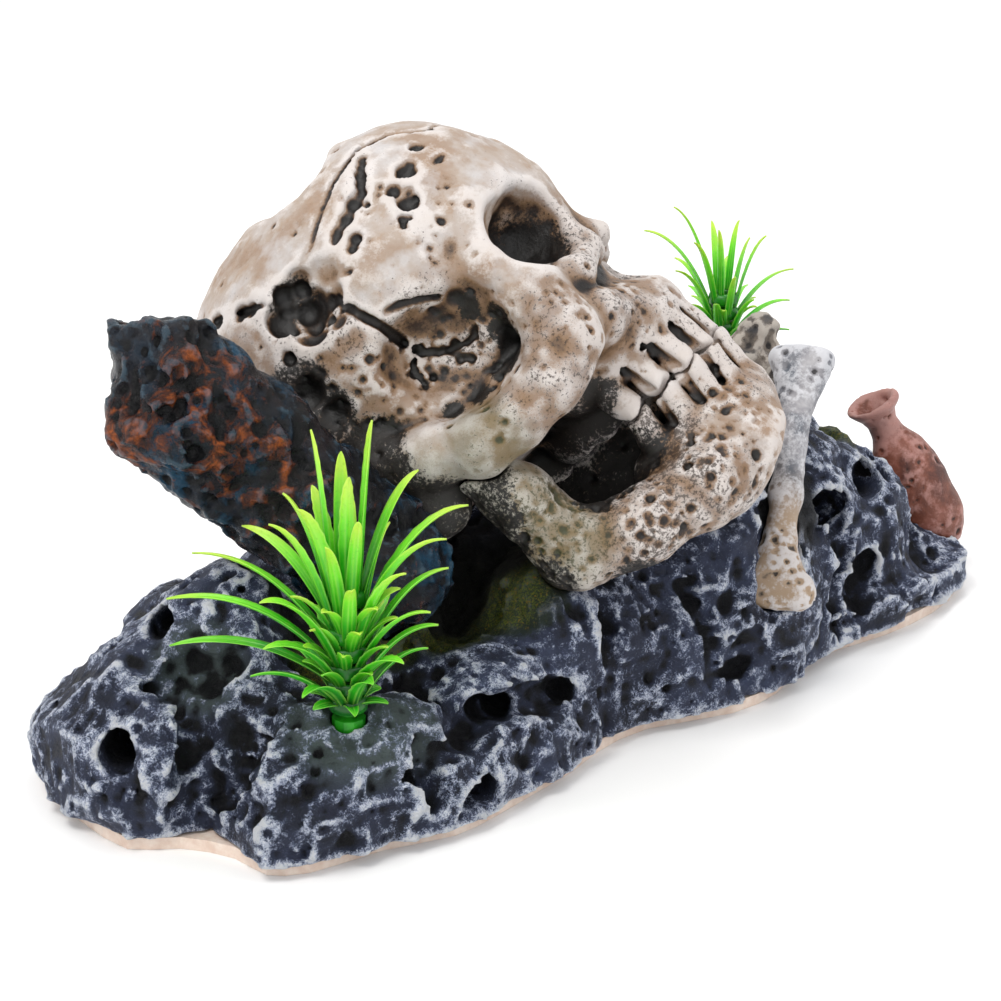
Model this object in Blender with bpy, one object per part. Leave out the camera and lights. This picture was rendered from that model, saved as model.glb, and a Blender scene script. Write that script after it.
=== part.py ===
"""Aquarium bubbling ornament: a resin skull reclining on a rock base, with a leg bone, a rusted log, a
clay jar and two plastic plants, fed with air through a swivelling elbow in the back of the rock.

Frame: +X along the rock to the right, +Y to the back, +Z up. The origin is on the flat underside.
Lengths here are millimetres; make_object() turns them into metres. The castings are modelled as clay:
simple shapes blended in a grid of signed distances, whose surface becomes the mesh.
"""

import math

import bmesh
import bpy
import numpy as np
import openvdb
from mathutils import Matrix, Vector

MM = 0.001

# ---------------------------------------------------------------- driving dimensions

PLATE_THICK = 2.0          # resin plate that closes the hollow underside
PLATE_INSET = 2.5          # the plate's edge lies this far inside the rock's
JOINT_GAP = 0.3            # between flat faces that meet
CLEARANCE = 0.5            # by which a casting is cut back around its neighbour
ROCK_BOTTOM = PLATE_THICK + JOINT_GAP

SKULL_AT = Vector((-14.6, 4.5, 50.7))          # the middle of the skull's base
SKULL_FACE = Vector((0.626, -0.373, 0.685))    # the way the face looks
SKULL_CROWN = Vector((-0.376, 0.626, 0.683))   # the way the crown points
BITE_HEIGHT = -19.0                            # where the teeth meet, below the skull's base
TOOTH_PITCH = 4.9

# Plan of the rock, anticlockwise seen from above, from its left end.
FOOTPRINT = [
    (-98, 16), (-100, 3), (-99, -11), (-92, -17), (-88, -24), (-87, -32), (-80, -37), (-67, -38.5),
    (-55, -42), (-45, -41), (-35, -39), (-25, -37), (-16, -34), (-5, -33), (11, -38), (24, -37),
    (36, -32), (46, -31), (58, -32), (74, -30.5), (88, -25), (95, -14), (94, 5), (85, 18), (74, 30),
    (55, 38), (30, 42), (5, 44), (-20, 43), (-45, 38), (-62, 33), (-80, 30), (-92, 25),
]

LOG_FOOT, LOG_HEAD, LOG_RADIUS = (-47, -11, 35), (-76, 5, 67), 12.5
LOG_BREAKS = [((-0.77, 0.64, 0), 8.6), ((0.22, 0.26, 0.94), 10.8), ((-0.87, -0.14, 0.38), 9.0)]
BONE_FOOT, BONE_HEAD = (21.5, -34.5, 20.3), (44.5, -17.5, 54)
BONE_TROUGH = (-0.604, -0.72, 0.342)           # the way in which the rock is open before the bone
CHIN_FACE = (0.48, 0.05, -0.875)               # the way the flat under the chin faces, in the skull's frame
JAR_FOOT, JAR_MOUTH = (92, -15, 6), (79, -5, 36)
STONE_AT = (60, 7, 46)

FRONT_PLANT, REAR_PLANT = (-68, -30, 22), (64, 22, 41)
PLUG_DEPTH, PLUG_RADIUS, STEM_RADIUS, RING_RADIUS, RING_HEIGHT = 8.0, 2.6, 1.3, 3.0, 2.2
LEAF_WIDTH, LEAF_THICK = 2.3, 0.7
WHORL_PITCH = 2.9

AIR_STONE_AT, AIR_STONE_LENGTH, AIR_STONE_RADIUS = (-9, -11, 8.0), 20.0, 5.5
SHAFT_AT, SHAFT_RADIUS = (2.5, -14.5), 4.5     # bubbles rise through this between the jaw's sides
PORT_X, PORT_Y, PORT_Z = 24.0, 37.0, 10.0      # the elbow's axis, and the seat of its grommet
SWING_RADIUS = 19.0                            # room for the elbow's arm to turn
TUBE_RADIUS, TUBE_BORE = 3.0, 2.0
GROMMET_BORE, GROMMET_RADIUS, FLANGE_RADIUS = 2.2, 4.6, 6.4


# ---------------------------------------------------------------- clay

def smooth_min(a, b, blend):
    share = np.clip(0.5 + 0.5 * (b - a) / blend, 0, 1)
    return b * (1 - share) + a * share - blend * share * (1 - share)


class Clay:
    """A grid of signed distances, negative inside. Shapes are added to it and cut from it."""

    def __init__(self, low, high, step):
        self.low, self.step = np.array(low, float), step
        counts = np.ceil((np.array(high) - self.low) / step).astype(int) + 1
        self.lines = [self.low[i] + step * np.arange(counts[i]) for i in range(3)]
        self.value = np.full(counts, 50.0, np.float32)

    def block(self, shape, margin):
        centre, reach, distance = shape
        spans = []
        for line, middle in zip(self.lines, centre):
            first, last = np.searchsorted(line, (middle - reach - margin, middle + reach + margin))
            spans.append(slice(first, last))
        x, y, z = (line[span] for line, span in zip(self.lines, spans))
        if 0 in (len(x), len(y), len(z)):
            return None, None
        return tuple(spans), distance(x[:, None, None], y[None, :, None], z[None, None, :])

    def add(self, shape, blend=2.0):
        spans, distance = self.block(shape, 2 * blend + 3)
        if spans:
            self.value[spans] = smooth_min(self.value[spans], distance, blend)

    def cut(self, shape, blend=1.0):
        spans, distance = self.block(shape, 2 * blend + 3)
        if spans:
            self.value[spans] = -smooth_min(-self.value[spans], distance, blend)

    def roughen(self, cell, height, seed):
        """Raises and lowers the surface by a smooth random field of this cell size."""
        counts = [int(math.ceil((line[-1] - line[0]) / cell)) + 2 for line in self.lines]
        field = np.random.default_rng(seed).uniform(-1, 1, counts)
        for axis, line in enumerate(self.lines):
            place = (line - line[0]) / cell
            below = place.astype(int)
            share = place - below
            share = share * share * (3 - 2 * share)
            weights = np.zeros((len(line), counts[axis]))
            rows = np.arange(len(line))
            weights[rows, below] = 1 - share
            weights[rows, below + 1] = share
            field = np.moveaxis(np.tensordot(weights, field, (1, axis)), 0, axis)
        self.value += (height * field).astype(np.float32)

    def surface(self):
        """(points, faces) of the surface, its faces turned outwards."""
        grid = openvdb.FloatGrid()
        grid.copyFromArray(self.value)
        points, quads = grid.convertToQuads(0.0)
        return self.low + self.step * points, quads


def ball(centre, radii, turn=None):
    """An ellipsoid; turn is a 3x3 matrix whose columns are its axes."""
    radii = np.array(radii, float)
    turn = np.identity(3) if turn is None else np.array(turn)

    def distance(x, y, z):
        place = (x - centre[0], y - centre[1], z - centre[2])
        unit = [sum(turn[j, i] * place[j] for j in range(3)) / radii[i] for i in range(3)]
        near = np.sqrt(sum(u * u for u in unit))
        slope = np.sqrt(sum((u / r) ** 2 for u, r in zip(unit, radii))) + 1e-6
        return (near * (near - 1) / slope).astype(np.float32)

    return centre, float(radii.max()), distance


def rod(start, end, radius, end_radius=None):
    """A rod with round ends, tapering from one radius to the other."""
    start, end = np.array(start, float), np.array(end, float)
    end_radius = radius if end_radius is None else end_radius
    along = end - start

    def distance(x, y, z):
        place = (x - start[0], y - start[1], z - start[2])
        share = np.clip(sum(a * p for a, p in zip(along, place)) / (along @ along), 0, 1)
        off = np.sqrt(sum((p - share * a) ** 2 for a, p in zip(along, place)))
        return (off - radius - share * (end_radius - radius)).astype(np.float32)

    reach = np.linalg.norm(along) / 2 + max(radius, end_radius)
    return (start + end) / 2, reach, distance


def chain(points, radii):
    """The rods that join these points in turn."""
    return [rod(points[i], points[i + 1], radii[i], radii[i + 1]) for i in range(len(points) - 1)]


def both_sides(point):
    """The point and its mirror image across the skull's middle plane."""
    return [point, (point[0], -point[1], point[2])]


def mirrored(points):
    return [points, [(x, -y, z) for x, y, z in points]]


# ---------------------------------------------------------------- the skull and its jaw
# In the skull's own frame: x to the face, y to its left ear, z to the crown. Its right side, at
# negative y, is the one that shows most.

def tooth_places():
    """Centres of the teeth along the dental arch, from the right side to the left."""
    angles = [(index + 0.5) * TOOTH_PITCH / 16.0 for index in range(-5, 5)]
    return [(17 + 22 * math.cos(angle), 13.5 * math.sin(angle)) for angle in angles]


def add_brain_case(clay):
    clay.add(ball((-2, 0, 20), (39, 31, 30)))
    clay.add(ball((11, 0, 25.5), (22, 24, 23.5)), 8)
    clay.add(ball((-22, 0, 10), (19, 24, 20)), 8)
    clay.add(ball((2, 0, -2), (26, 15, 9)), 6)
    for x, y, z in both_sides((-12, -24, -5)):
        clay.add(ball((x, y, z), (7, 5, 8)), 4)


def add_face(clay):
    clay.add(ball((24, 0, -4), (12, 14, 13)), 6)
    clay.add(ball((25, 0, 10), (8, 13, 12)), 4)
    clay.add(ball((27.5, 0, 19), (5, 9, 5)), 4)
    for brow in mirrored([(30, -5, 20), (29.3, -13, 25.2), (24.5, -20, 24.5), (21.2, -24.5, 16)]):
        for part in chain(brow, [2.8, 3, 3.4, 4]):
            clay.add(part, 2.5)
    for cheek in mirrored([(21.2, -24.5, 16), (23.2, -25, 7), (22, -26, -1)]):
        for part in chain(cheek, [4, 5.2, 5.8]):
            clay.add(part, 3)
    for root in mirrored([(23, -24, 1), (27.5, -17, -3), (31, -10, -5)]):
        for part in chain(root, [5, 4.8, 4.5]):
            clay.add(part, 3)
    for rim in mirrored([(25, -23, 6), (30.5, -16, 4.3), (34, -7, 6.5), (33, -5, 14)]):
        for part in chain(rim, [3, 2.8, 2.6, 2.4]):
            clay.add(part, 2)
    for arch in mirrored([(22, -26.5, -2), (16, -29, -5.5), (8, -30.5, -6), (1, -30.3, -5),
                          (-7, -28, -1), (-14, -25, 3)]):
        for part in chain(arch, [5.6, 5, 4.8, 4.6, 4.4, 5]):
            clay.add(part, 3)
    for x, y, z in both_sides((10, -22, -3)):
        clay.add(ball((x, y, z), (15, 7, 5)), 3)
    clay.add(rod((30.5, 0, 15), (36.8, 0, 7.5), 3.2, 2.6), 2)
    clay.add(ball((12, 8, -17), (21, 4.5, 16)), 3)
    clay.add(ball((20, 1, -14), (15, 10, 9)), 3)


def add_upper_teeth(clay):
    gums = [(x - 4.5, y * 0.86, -8.5) for x, y in tooth_places()]
    for part in chain(gums, [5] * len(gums)):
        clay.add(part, 4)
    for x, y in tooth_places():
        clay.add(rod((x - 1.6, y * 0.97, -8), (x, y, BITE_HEIGHT - 1), 2.8, 2.75), 0.6)


def cut_openings(clay):
    """Eye sockets, nose, temples, and the worn crown."""
    for side in (-1, 1):
        turn = Matrix.Rotation(side * math.radians(25), 3, "Z")
        clay.cut(ball((32, side * 14.5, 15.2), (12, 7.2, 7.4), turn), 1.5)
        clay.cut(ball((28.7, side * 21, 15.4), (5.4, 9, 7.4)), 1.2)
        clay.cut(ball((7, side * 33, 9.5), (12, 10.5, 10.5)), 2)
        hem = [(13.5, side * 27, 14), (14.5, side * 27, 6.5), (9, side * 28, 2), (1, side * 28.5, 2.8)]
        for part in chain(hem, [2.2, 2.4, 2.3, 1.8]):
            clay.cut(part, 1)
    clay.cut(rod((43, 0, 6), (38, 0, 0), 3.2, 4.4), 1)
    clay.cut(rod((39, 0, 1), (30, 0, 0), 4.2, 3.2), 1)
    clay.cut(ball((5, -2, 57.5), (10, 22, 12.5)), 3)
    clay.cut(ball((-2, -30, 34), (7, 5, 5.5)), 1)


def skull_clay(step):
    clay = Clay((-46, -37, -26), (50, 37, 57), step)
    add_brain_case(clay)
    add_face(clay)
    add_upper_teeth(clay)
    cut_openings(clay)
    clay.cut(below(BITE_HEIGHT + JOINT_GAP), 0.3)
    return clay


def jaw_clay(step):
    clay = Clay((-16, -34, -54), (48, 34, 4), step)
    for line in mirrored([(-1, -22, -29), (10, -21, -33.5), (22, -16, -35.5), (31, -7, -37)]):
        for part in chain(line, [5.8, 5.8, 6.6, 7]):
            clay.add(part, 4)
    clay.add(rod((31, -7, -37), (31, 7, -37), 7), 4)
    gums = [(x - 3.5, y * 0.9, -30) for x, y in tooth_places()]
    for part in chain(gums, [5] * len(gums)):
        clay.add(part, 4)
    for branch in mirrored([(-1, -22.5, -27), (-1.5, -25.5, -15), (-4, -26.5, -6)]):
        for part in chain(branch, [6, 5, 4.4]):
            clay.add(part, 4)
    clay.add(ball((12, 13.5, -28), (20, 4, 14)), 3)
    clay.add(ball((31, 0, -40), (6, 10, 4.5)), 4)
    clay.cut(past((35.7, -9.9, -39.2), CHIN_FACE, 0), 2)
    for x, y in tooth_places():
        clay.add(rod((x - 1, y * 0.97, -28), (x, y, BITE_HEIGHT + 1), 2.9, 2.7), 0.6)
    clay.cut(over_the_bite(), 0.3)
    return clay


def below(height):
    return (0, 0, 0), 500.0, lambda x, y, z: (z - height + 0 * x + 0 * y).astype(np.float32)


def over_the_bite():
    """The space over the lower teeth, which leaves the jaw's branches alone."""
    limit = BITE_HEIGHT - JOINT_GAP
    return (36, 0, limit + 12), 26.0, lambda x, y, z: np.maximum(
        limit - z + 0 * y, 17 - x + 0 * y).astype(np.float32)


# ---------------------------------------------------------------- the other castings

def footprint_distance(x, y):
    """Signed distance in plan from the rock's outline, negative inside."""
    corners = np.array(FOOTPRINT, float)
    nearest = np.full(np.broadcast(x, y).shape, 1e9)
    inside = np.zeros(nearest.shape, bool)
    for (ax, ay), (bx, by) in zip(corners, np.roll(corners, -1, axis=0)):
        ex, ey = bx - ax, by - ay
        share = np.clip(((x - ax) * ex + (y - ay) * ey) / (ex * ex + ey * ey), 0, 1)
        nearest = np.minimum(nearest, (x - ax - share * ex) ** 2 + (y - ay - share * ey) ** 2)
        crosses = ((ay <= y) & (by > y)) | ((by <= y) & (ay > y))
        inside ^= crosses & (x < ax + (y - ay) / (ey if ey else 1e-9) * ex)
    return np.where(inside, -1, 1) * np.sqrt(nearest)


BOULDERS = [                                   # centre, half sizes, turn about Z in degrees
    ((-80, 3, 8), (19, 21, 18), 10), ((-72, 0, 21), (12, 14, 15), -20),
    ((-88, -7, 8), (10, 13, 14), 25), ((-72, -12, 12), (9, 14, 13), 0),
    ((-66, -28, 8), (18, 12, 15), -10), ((-38, -24, 6), (21, 15, 15), 15),
    ((-20, -22, 4), (15, 11, 14), 0), ((-8, -19, 14), (18, 14, 17), 10),
    ((8, -22, 14), (22, 13, 20), -10), ((22, -24, 20), (15, 11, 15), 20),
    ((42, -12, 20), (20, 17, 20), 0), ((59.5, -11, 14), (15.5, 16, 21), -15),
    ((80, -8, 5), (14, 15, 9), 0), ((61, 19, 18), (21, 18, 23), 10), ((58, 8, 20), (15, 12, 23), 0),
    ((30, 20, 10), (30, 22, 22), 0), ((-20, 26, 8), (34, 17, 20), 0),
    ((-60, 20, 8), (22, 16, 18), 20), ((-35, 5, 10), (30, 22, 18), 0),
    ((-18, -20, 18), (13, 13, 15), 0), ((-15, 8, 20), (22, 20, 16), 0),
    ((-50, -6, 16), (16, 14, 13), 0), ((26, -29, 8), (12, 9, 11), 0),
]


def rock_clay(step):
    clay = Clay((-104, -46, -4), (102, 50, 52), step)
    x, y, z = clay.lines
    plan = footprint_distance(x[:, None], y[None, :])[:, :, None]
    foundation = np.maximum(plan + 1.5, z[None, None, :] - 7)
    clay.value = foundation.astype(np.float32)
    for centre, radii, degrees in BOULDERS:
        turn = Matrix.Rotation(math.radians(degrees), 3, "Z")
        clay.add(ball(centre, radii, turn), 3)
    clay.roughen(13, 2.2, seed=3)
    clay.roughen(6, 1.0, seed=4)
    clay.value = -smooth_min(-clay.value, -(plan - 1.0).astype(np.float32), 2.0)
    foot, head, aim = Vector(BONE_FOOT), Vector(BONE_HEAD), Vector(BONE_TROUGH)
    for out in (4.5, 9.5):
        clay.cut(rod(foot + out * aim + Vector((0, 0, -2)), head + out * aim, 4.2, 5.5), 2)
    for spot, radius, inward in ROCK_HOLES:
        tip = [a + b for a, b in zip(spot, inward)]
        clay.cut(rod(spot, tip, radius), 0.8)
    return clay


ROCK_HOLES = [                                 # mouth, radius, way in
    ((-96, -10, 17), 2.6, (9, 6, 0)), ((61, -30, 27), 3.4, (3, 10, -1)),
    ((-45, -41, 6), 2.4, (2, 9, 1)), ((-90, -6, 30), 1.8, (6, 6, -3)),
]


def log_clay(step):
    foot, head = Vector(LOG_FOOT), Vector(LOG_HEAD)
    along = (head - foot).normalized()
    clay = Clay((-98, -28, 16), (-28, 28, 88), step)
    clay.add(rod(foot, head + 14 * along, LOG_RADIUS - 1, LOG_RADIUS), 1)
    clay.roughen(9, 1.3, seed=7)
    for face, reach in LOG_BREAKS:
        clay.cut(past(head, tuple(Vector(face).normalized()), reach), 0.8)
    return clay


def past(point, way, margin):
    """The half space beyond this point."""
    offset = sum(a * b for a, b in zip(point, way)) + margin
    return (0, 0, 0), 500.0, lambda x, y, z: (
        offset - x * way[0] - y * way[1] - z * way[2]).astype(np.float32)


def bone_clay(step):
    foot, head = Vector(BONE_FOOT), Vector(BONE_HEAD)
    along = (head - foot).normalized()
    aside = along.cross(Vector((0, 0, 1))).cross(along).cross(along).normalized()
    clay = Clay((8, -50, 6), (66, 0, 70), step)
    clay.add(rod(foot, foot.lerp(head, 0.4), 3.4, 2.7), 2)
    clay.add(rod(foot.lerp(head, 0.4), head, 2.8, 3.4), 2)
    for side in (-1, 1):
        clay.add(rod(foot.lerp(head, 0.72), head + 3.4 * side * aside, 2.7, 3.0), 1.5)
        clay.add(rod(foot.lerp(head, 0.12), foot + 4.2 * side * aside, 3, 3.4), 2)
    return clay


def stone_clay(step):
    at = Vector(STONE_AT)
    clay = Clay(at - Vector((14, 14, 14)), at + Vector((14, 14, 16)), step)
    clay.add(rod(at + Vector((-5, 1, -1)), at + Vector((5, -1, -2)), 4.6, 4), 3)
    clay.add(rod(at + Vector((-1.5, 0, 0)), at + Vector((-1, 0, 5.2)), 5.4, 4.0), 3)
    clay.roughen(6, 0.9, seed=11)
    return clay


# ---------------------------------------------------------------- meshes

def finished(name, mesh, colour, roughness, origin=(0, 0, 0)):
    """A scene object in metres, from a mesh in millimetres, with its own material."""
    mesh.transform(Matrix.Translation(-Vector(origin)))
    mesh.transform(Matrix.Scale(MM, 4))
    mesh.shade_smooth()
    mesh.set_sharp_from_angle(angle=math.radians(40))
    material = bpy.data.materials.new(name)
    material.use_nodes = True
    shader = material.node_tree.nodes["Principled BSDF"]
    shader.inputs["Base Color"].default_value = (*colour, 1)
    shader.inputs["Roughness"].default_value = roughness
    mesh.materials.clear()
    mesh.materials.append(material)
    made = bpy.data.objects.new(name, mesh)
    made.location = Vector(origin) * MM
    bpy.context.scene.collection.objects.link(made)
    return made


def mesh_of(name, points, faces):
    mesh = bpy.data.meshes.new(name)
    mesh.from_pydata([tuple(point) for point in points], [], [tuple(face) for face in faces])
    return mesh


def evaluated(helper):
    """The helper's mesh with its modifiers applied; the helper is removed."""
    bpy.context.view_layer.update()
    graph = bpy.context.evaluated_depsgraph_get()
    mesh = bpy.data.meshes.new_from_object(helper.evaluated_get(graph))
    bpy.data.objects.remove(helper, do_unlink=True)
    return mesh


def helper_of(mesh):
    helper = bpy.data.objects.new("helper", mesh)
    bpy.context.scene.collection.objects.link(helper)
    return helper


def cast(name, clay, triangles, turn=None, at=(0, 0, 0)):
    """The clay's surface as a mesh of about this many triangles, turned and placed."""
    points, faces = clay.surface()
    helper = helper_of(mesh_of(name, points, faces))
    coarser = helper.modifiers.new("coarser", "DECIMATE")
    coarser.ratio = min(1.0, triangles / (2 * len(faces)))
    mesh = evaluated(helper)
    mesh.transform(Matrix.Translation(at) @ (turn or Matrix()).to_4x4())
    return mesh


def without_crumbs(mesh, least):
    """The mesh without the loose bits under this many cubic millimetres that cuts leave."""
    shape = bmesh.new()
    shape.from_mesh(mesh)
    bmesh.ops.triangulate(shape, faces=shape.faces)
    unseen, crumbs = set(shape.verts), []
    while unseen:
        first = unseen.pop()
        body, border = {first}, [first]
        while border:
            for link in border.pop().link_edges:
                fresh = [corner for corner in link.verts if corner in unseen]
                unseen.difference_update(fresh)
                body.update(fresh)
                border += fresh
        sides = {face for corner in body for face in corner.link_faces}
        volume = sum(f.verts[0].co.dot(f.verts[1].co.cross(f.verts[2].co)) for f in sides) / 6
        if abs(volume) < least:
            crumbs += body
    bmesh.ops.delete(shape, geom=crumbs, context="VERTS")
    shape.to_mesh(mesh)
    shape.free()
    return mesh


def inflated(mesh, distance):
    """A copy whose surface lies this far outside the mesh."""
    shape = bmesh.new()
    shape.from_mesh(mesh)
    shape.normal_update()
    for vertex in shape.verts:
        vertex.co += distance * vertex.normal
    copy = bpy.data.meshes.new("inflated")
    shape.to_mesh(copy)
    shape.free()
    return copy


def carved(mesh, cutters, least=100.0):
    """The mesh with each cutter taken out of it in turn, and without the crumbs that leaves."""
    for cutter in cutters:
        helper, tool = helper_of(mesh), helper_of(cutter)
        difference = helper.modifiers.new("cut", "BOOLEAN")
        difference.operation, difference.object = "DIFFERENCE", tool
        mesh = evaluated(helper)
        bpy.data.objects.remove(tool, do_unlink=True)
    return without_crumbs(mesh, least)


def cut_back(mesh, neighbours, least=100.0):
    return carved(mesh, [inflated(other, CLEARANCE) for other in neighbours], least)


def ring_faces(first, second, sides):
    return [(first + i, first + (i + 1) % sides, second + (i + 1) % sides, second + i)
            for i in range(sides)]


def pipe(name, points, radii, bore, sides=12):
    """A tube along the points, of this outer radius at each, with a bore right through it."""
    points = [Vector(point) for point in points]
    ways = []
    for i in range(len(points)):
        before, after = points[max(i - 1, 0)], points[min(i + 1, len(points) - 1)]
        step = after - before
        ways.append(step.normalized() if step.length > 1e-6 else ways[-1])
    across = ways[0].orthogonal().normalized()
    corners, faces = [], []
    for point, way, radius in zip(points, ways, radii):
        across = (across - way * across.dot(way)).normalized()
        upward = way.cross(across)
        for size in (radius, bore):
            for i in range(sides):
                angle = math.tau * i / sides
                corners.append(point + size * (math.cos(angle) * across + math.sin(angle) * upward))
    last = 2 * sides * (len(points) - 1)
    for i in range(len(points) - 1):
        here, there = 2 * sides * i, 2 * sides * (i + 1)
        faces += ring_faces(here, there, sides)
        faces += [face[::-1] for face in ring_faces(here + sides, there + sides, sides)]
    faces += [face[::-1] for face in ring_faces(0, sides, sides)]
    faces += ring_faces(last, last + sides, sides)
    return mesh_of(name, corners, faces)


def turned(name, profile, foot, head, sides=16):
    """A profile of (radius, height) points turned round the line from foot to head.

    It starts and ends on the axis, and runs up the outside.
    """
    corners, faces, rings = [], [], []
    for radius, height in profile:
        rings.append(len(corners))
        count = sides if radius > 0 else 1
        for i in range(count):
            angle = math.tau * i / sides
            corners.append(Vector((radius * math.cos(angle), radius * math.sin(angle), height)))
    for i in range(len(profile) - 1):
        here, there = rings[i], rings[i + 1]
        if profile[i][0] == 0:
            faces += [(here, there + (k + 1) % sides, there + k) for k in range(sides)]
        elif profile[i + 1][0] == 0:
            faces += [(here + k, here + (k + 1) % sides, there) for k in range(sides)]
        else:
            faces += ring_faces(here, there, sides)
    foot = Vector(foot)
    turn = (Vector(head) - foot).to_track_quat("Z", "Y").to_matrix()
    return mesh_of(name, [foot + turn @ corner for corner in corners], faces)


def cylinder(start, end, radius, sides=24):
    length = (Vector(end) - Vector(start)).length
    return turned("cylinder", [(0, 0), (radius, 0), (radius, length), (0, length)], start, end, sides)


def box(low, high):
    shape = bmesh.new()
    bmesh.ops.create_cube(shape, size=1)
    for vertex in shape.verts:
        vertex.co = Vector([a + (b - a) * (v + 0.5) for a, b, v in zip(low, high, vertex.co)])
    mesh = bpy.data.meshes.new("box")
    shape.to_mesh(mesh)
    shape.free()
    return mesh


# ---------------------------------------------------------------- plants
# Each leaf is (azimuth in degrees, reach from the stem, height of its tip over the rock).

FRONT_WHORLS = [
    [(205, 14.7, 8.8), (-105, 11, 9.3), (-20, 13, 9), (40, 12, 8), (100, 13, 8), (155, 15, 8)],
    [(140, 27, 12), (188, 16.5, 16), (-87, 13, 12.5), (-45, 14, 15), (20, 13, 15), (80, 11, 14)],
    [(152, 27, 21.5), (187, 17, 23.5), (-65, 14, 19), (-25, 16, 22.5), (40, 10, 21), (85, 10, 20)],
    [(130, 24, 25), (-120, 12, 25), (-80, 12, 26), (12, 11, 28), (66, 9, 27)],
    [(115, 18, 28), (-62, 16.5, 31), (-27, 19, 33), (165, 12, 33), (-145, 10, 31), (40, 8, 32)],
    [(190, 9.5, 36), (-105, 7.7, 34), (-20, 12, 38), (95, 8, 35), (145, 9, 36)],
]
FRONT_TUFT = [(-30, 4.5, 47), (150, 4.5, 46), (60, 4.5, 41), (-120, 4.5, 40)]
REAR_WHORLS = [
    [(-30, 14, 6), (30, 12, 8), (95, 12, 8), (160, 12, 8), (-100, 7, 9)],
    [(-25, 14, 12), (-80, 7, 14), (25, 13, 13), (80, 12, 13), (140, 13, 13), (-150, 8, 14)],
    [(-20, 15, 18), (45, 11, 19), (110, 11, 20), (165, 11, 20), (-110, 6, 19)],
    [(130, 14, 25), (180, 9, 26), (-45, 8, 26), (70, 8, 27)],
]
REAR_TUFT = [(150, 7, 30), (-150, 4.5, 28), (20, 5, 28), (-70, 5, 26)]


def leaf_sections(root, azimuth, reach, rise, steps=5):
    """Corners of the leaf's sections, each (left low, right low, right high, left high)."""
    way = Vector((math.cos(math.radians(azimuth)), math.sin(math.radians(azimuth)), 0))
    aside = Vector((-way.y, way.x, 0))
    start = Vector((RING_RADIUS, 0, root))
    end = Vector((reach, 0, rise))
    middle = Vector((RING_RADIUS + 0.42 * (reach - RING_RADIUS), 0, root + 0.62 * (rise - root) + 1.0))
    sections = []
    for step in range(1, steps + 1):
        share = step / steps
        spot = (1 - share) ** 2 * start + 2 * share * (1 - share) * middle + share ** 2 * end
        slope = (2 * (1 - share) * (middle - start) + 2 * share * (end - middle)).normalized()
        normal = Vector((-slope.z, 0, slope.x))
        half_width = 0.5 * LEAF_WIDTH * (1 - 0.85 * share ** 2)
        half_thick = 0.5 * LEAF_THICK * (1 - 0.5 * share)
        middle_spot = way * spot.x + Vector((0, 0, spot.z))
        across = way * normal.x + Vector((0, 0, normal.z))
        sections.append([middle_spot + a * half_width * aside + b * half_thick * across
                         for a, b in ((-1, -1), (1, -1), (1, 1), (-1, 1))])
    return sections


def whorl(name, foot, root, leaves, bore):
    """A ring round the stem with its leaves, as one body."""
    leaves = sorted((azimuth % 360, reach, rise) for azimuth, reach, rise in leaves)
    half = math.degrees(0.8 / RING_RADIUS)
    angles, leaf_walls = [], []
    for (azimuth, _, _), (following, _, _) in zip(leaves, leaves[1:] + leaves[:1]):
        leaf_walls.append(len(angles))
        gap = (following - azimuth) % 360 - 2 * half
        steps = math.ceil(gap / 30)
        angles.append(azimuth - half)
        angles += [azimuth + half + gap * step / steps for step in range(steps)]
    sides, corners, faces = len(angles), [], []
    for radius in (RING_RADIUS, bore):
        for height in (root - RING_HEIGHT / 2, root + RING_HEIGHT / 2):
            for angle in angles:
                turn = math.radians(angle)
                corners.append(Vector((radius * math.cos(turn), radius * math.sin(turn), height)))
    outer_low, outer_high, inner_low, inner_high = (k * sides for k in range(4))
    walls = ring_faces(outer_low, outer_high, sides)
    faces += [wall for k, wall in enumerate(walls) if k not in leaf_walls]
    faces += [face[::-1] for face in ring_faces(inner_low, inner_high, sides)]
    faces += ring_faces(outer_high, inner_high, sides) + ring_faces(inner_low, outer_low, sides)
    for (azimuth, reach, rise), wall in zip(leaves, leaf_walls):
        previous = list(walls[wall])
        for section in leaf_sections(root, azimuth, reach, rise):
            ring = list(range(len(corners), len(corners) + 4))
            corners += section
            faces += [(previous[k], previous[(k + 1) % 4], ring[(k + 1) % 4], ring[k])
                      for k in range(4)]
            previous = ring
        faces.append(tuple(previous))
    return mesh_of(name, [Vector(foot) + corner for corner in corners], faces)


def make_plant(name, foot, whorls, tuft, colour):
    """A stem plugged into the rock, its whorls threaded on it, and a tuft that caps it."""
    top = WHORL_PITCH * (len(whorls) + 0.5)
    stem = [(0, -PLUG_DEPTH), (PLUG_RADIUS, -PLUG_DEPTH), (PLUG_RADIUS, -0.6),
            (STEM_RADIUS, -0.3), (STEM_RADIUS, top), (0, top)]
    head = Vector(foot) + Vector((0, 0, 1))
    finished(name + "_stem", turned(name, stem, foot, head, 10), (0.12, 0.5, 0.05), 0.35)
    bore = STEM_RADIUS + JOINT_GAP
    for index, leaves in enumerate(whorls):
        root = WHORL_PITCH * (index + 0.5) + 0.2
        mesh = whorl(name, foot, root, leaves, bore)
        finished(f"{name}_whorl_{index + 1}", mesh, colour, 0.35)
    root = WHORL_PITCH * (len(whorls) + 0.5) + 0.2
    finished(name + "_tuft", whorl(name, foot, root, tuft, bore), colour, 0.35)


# ---------------------------------------------------------------- air line

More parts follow.
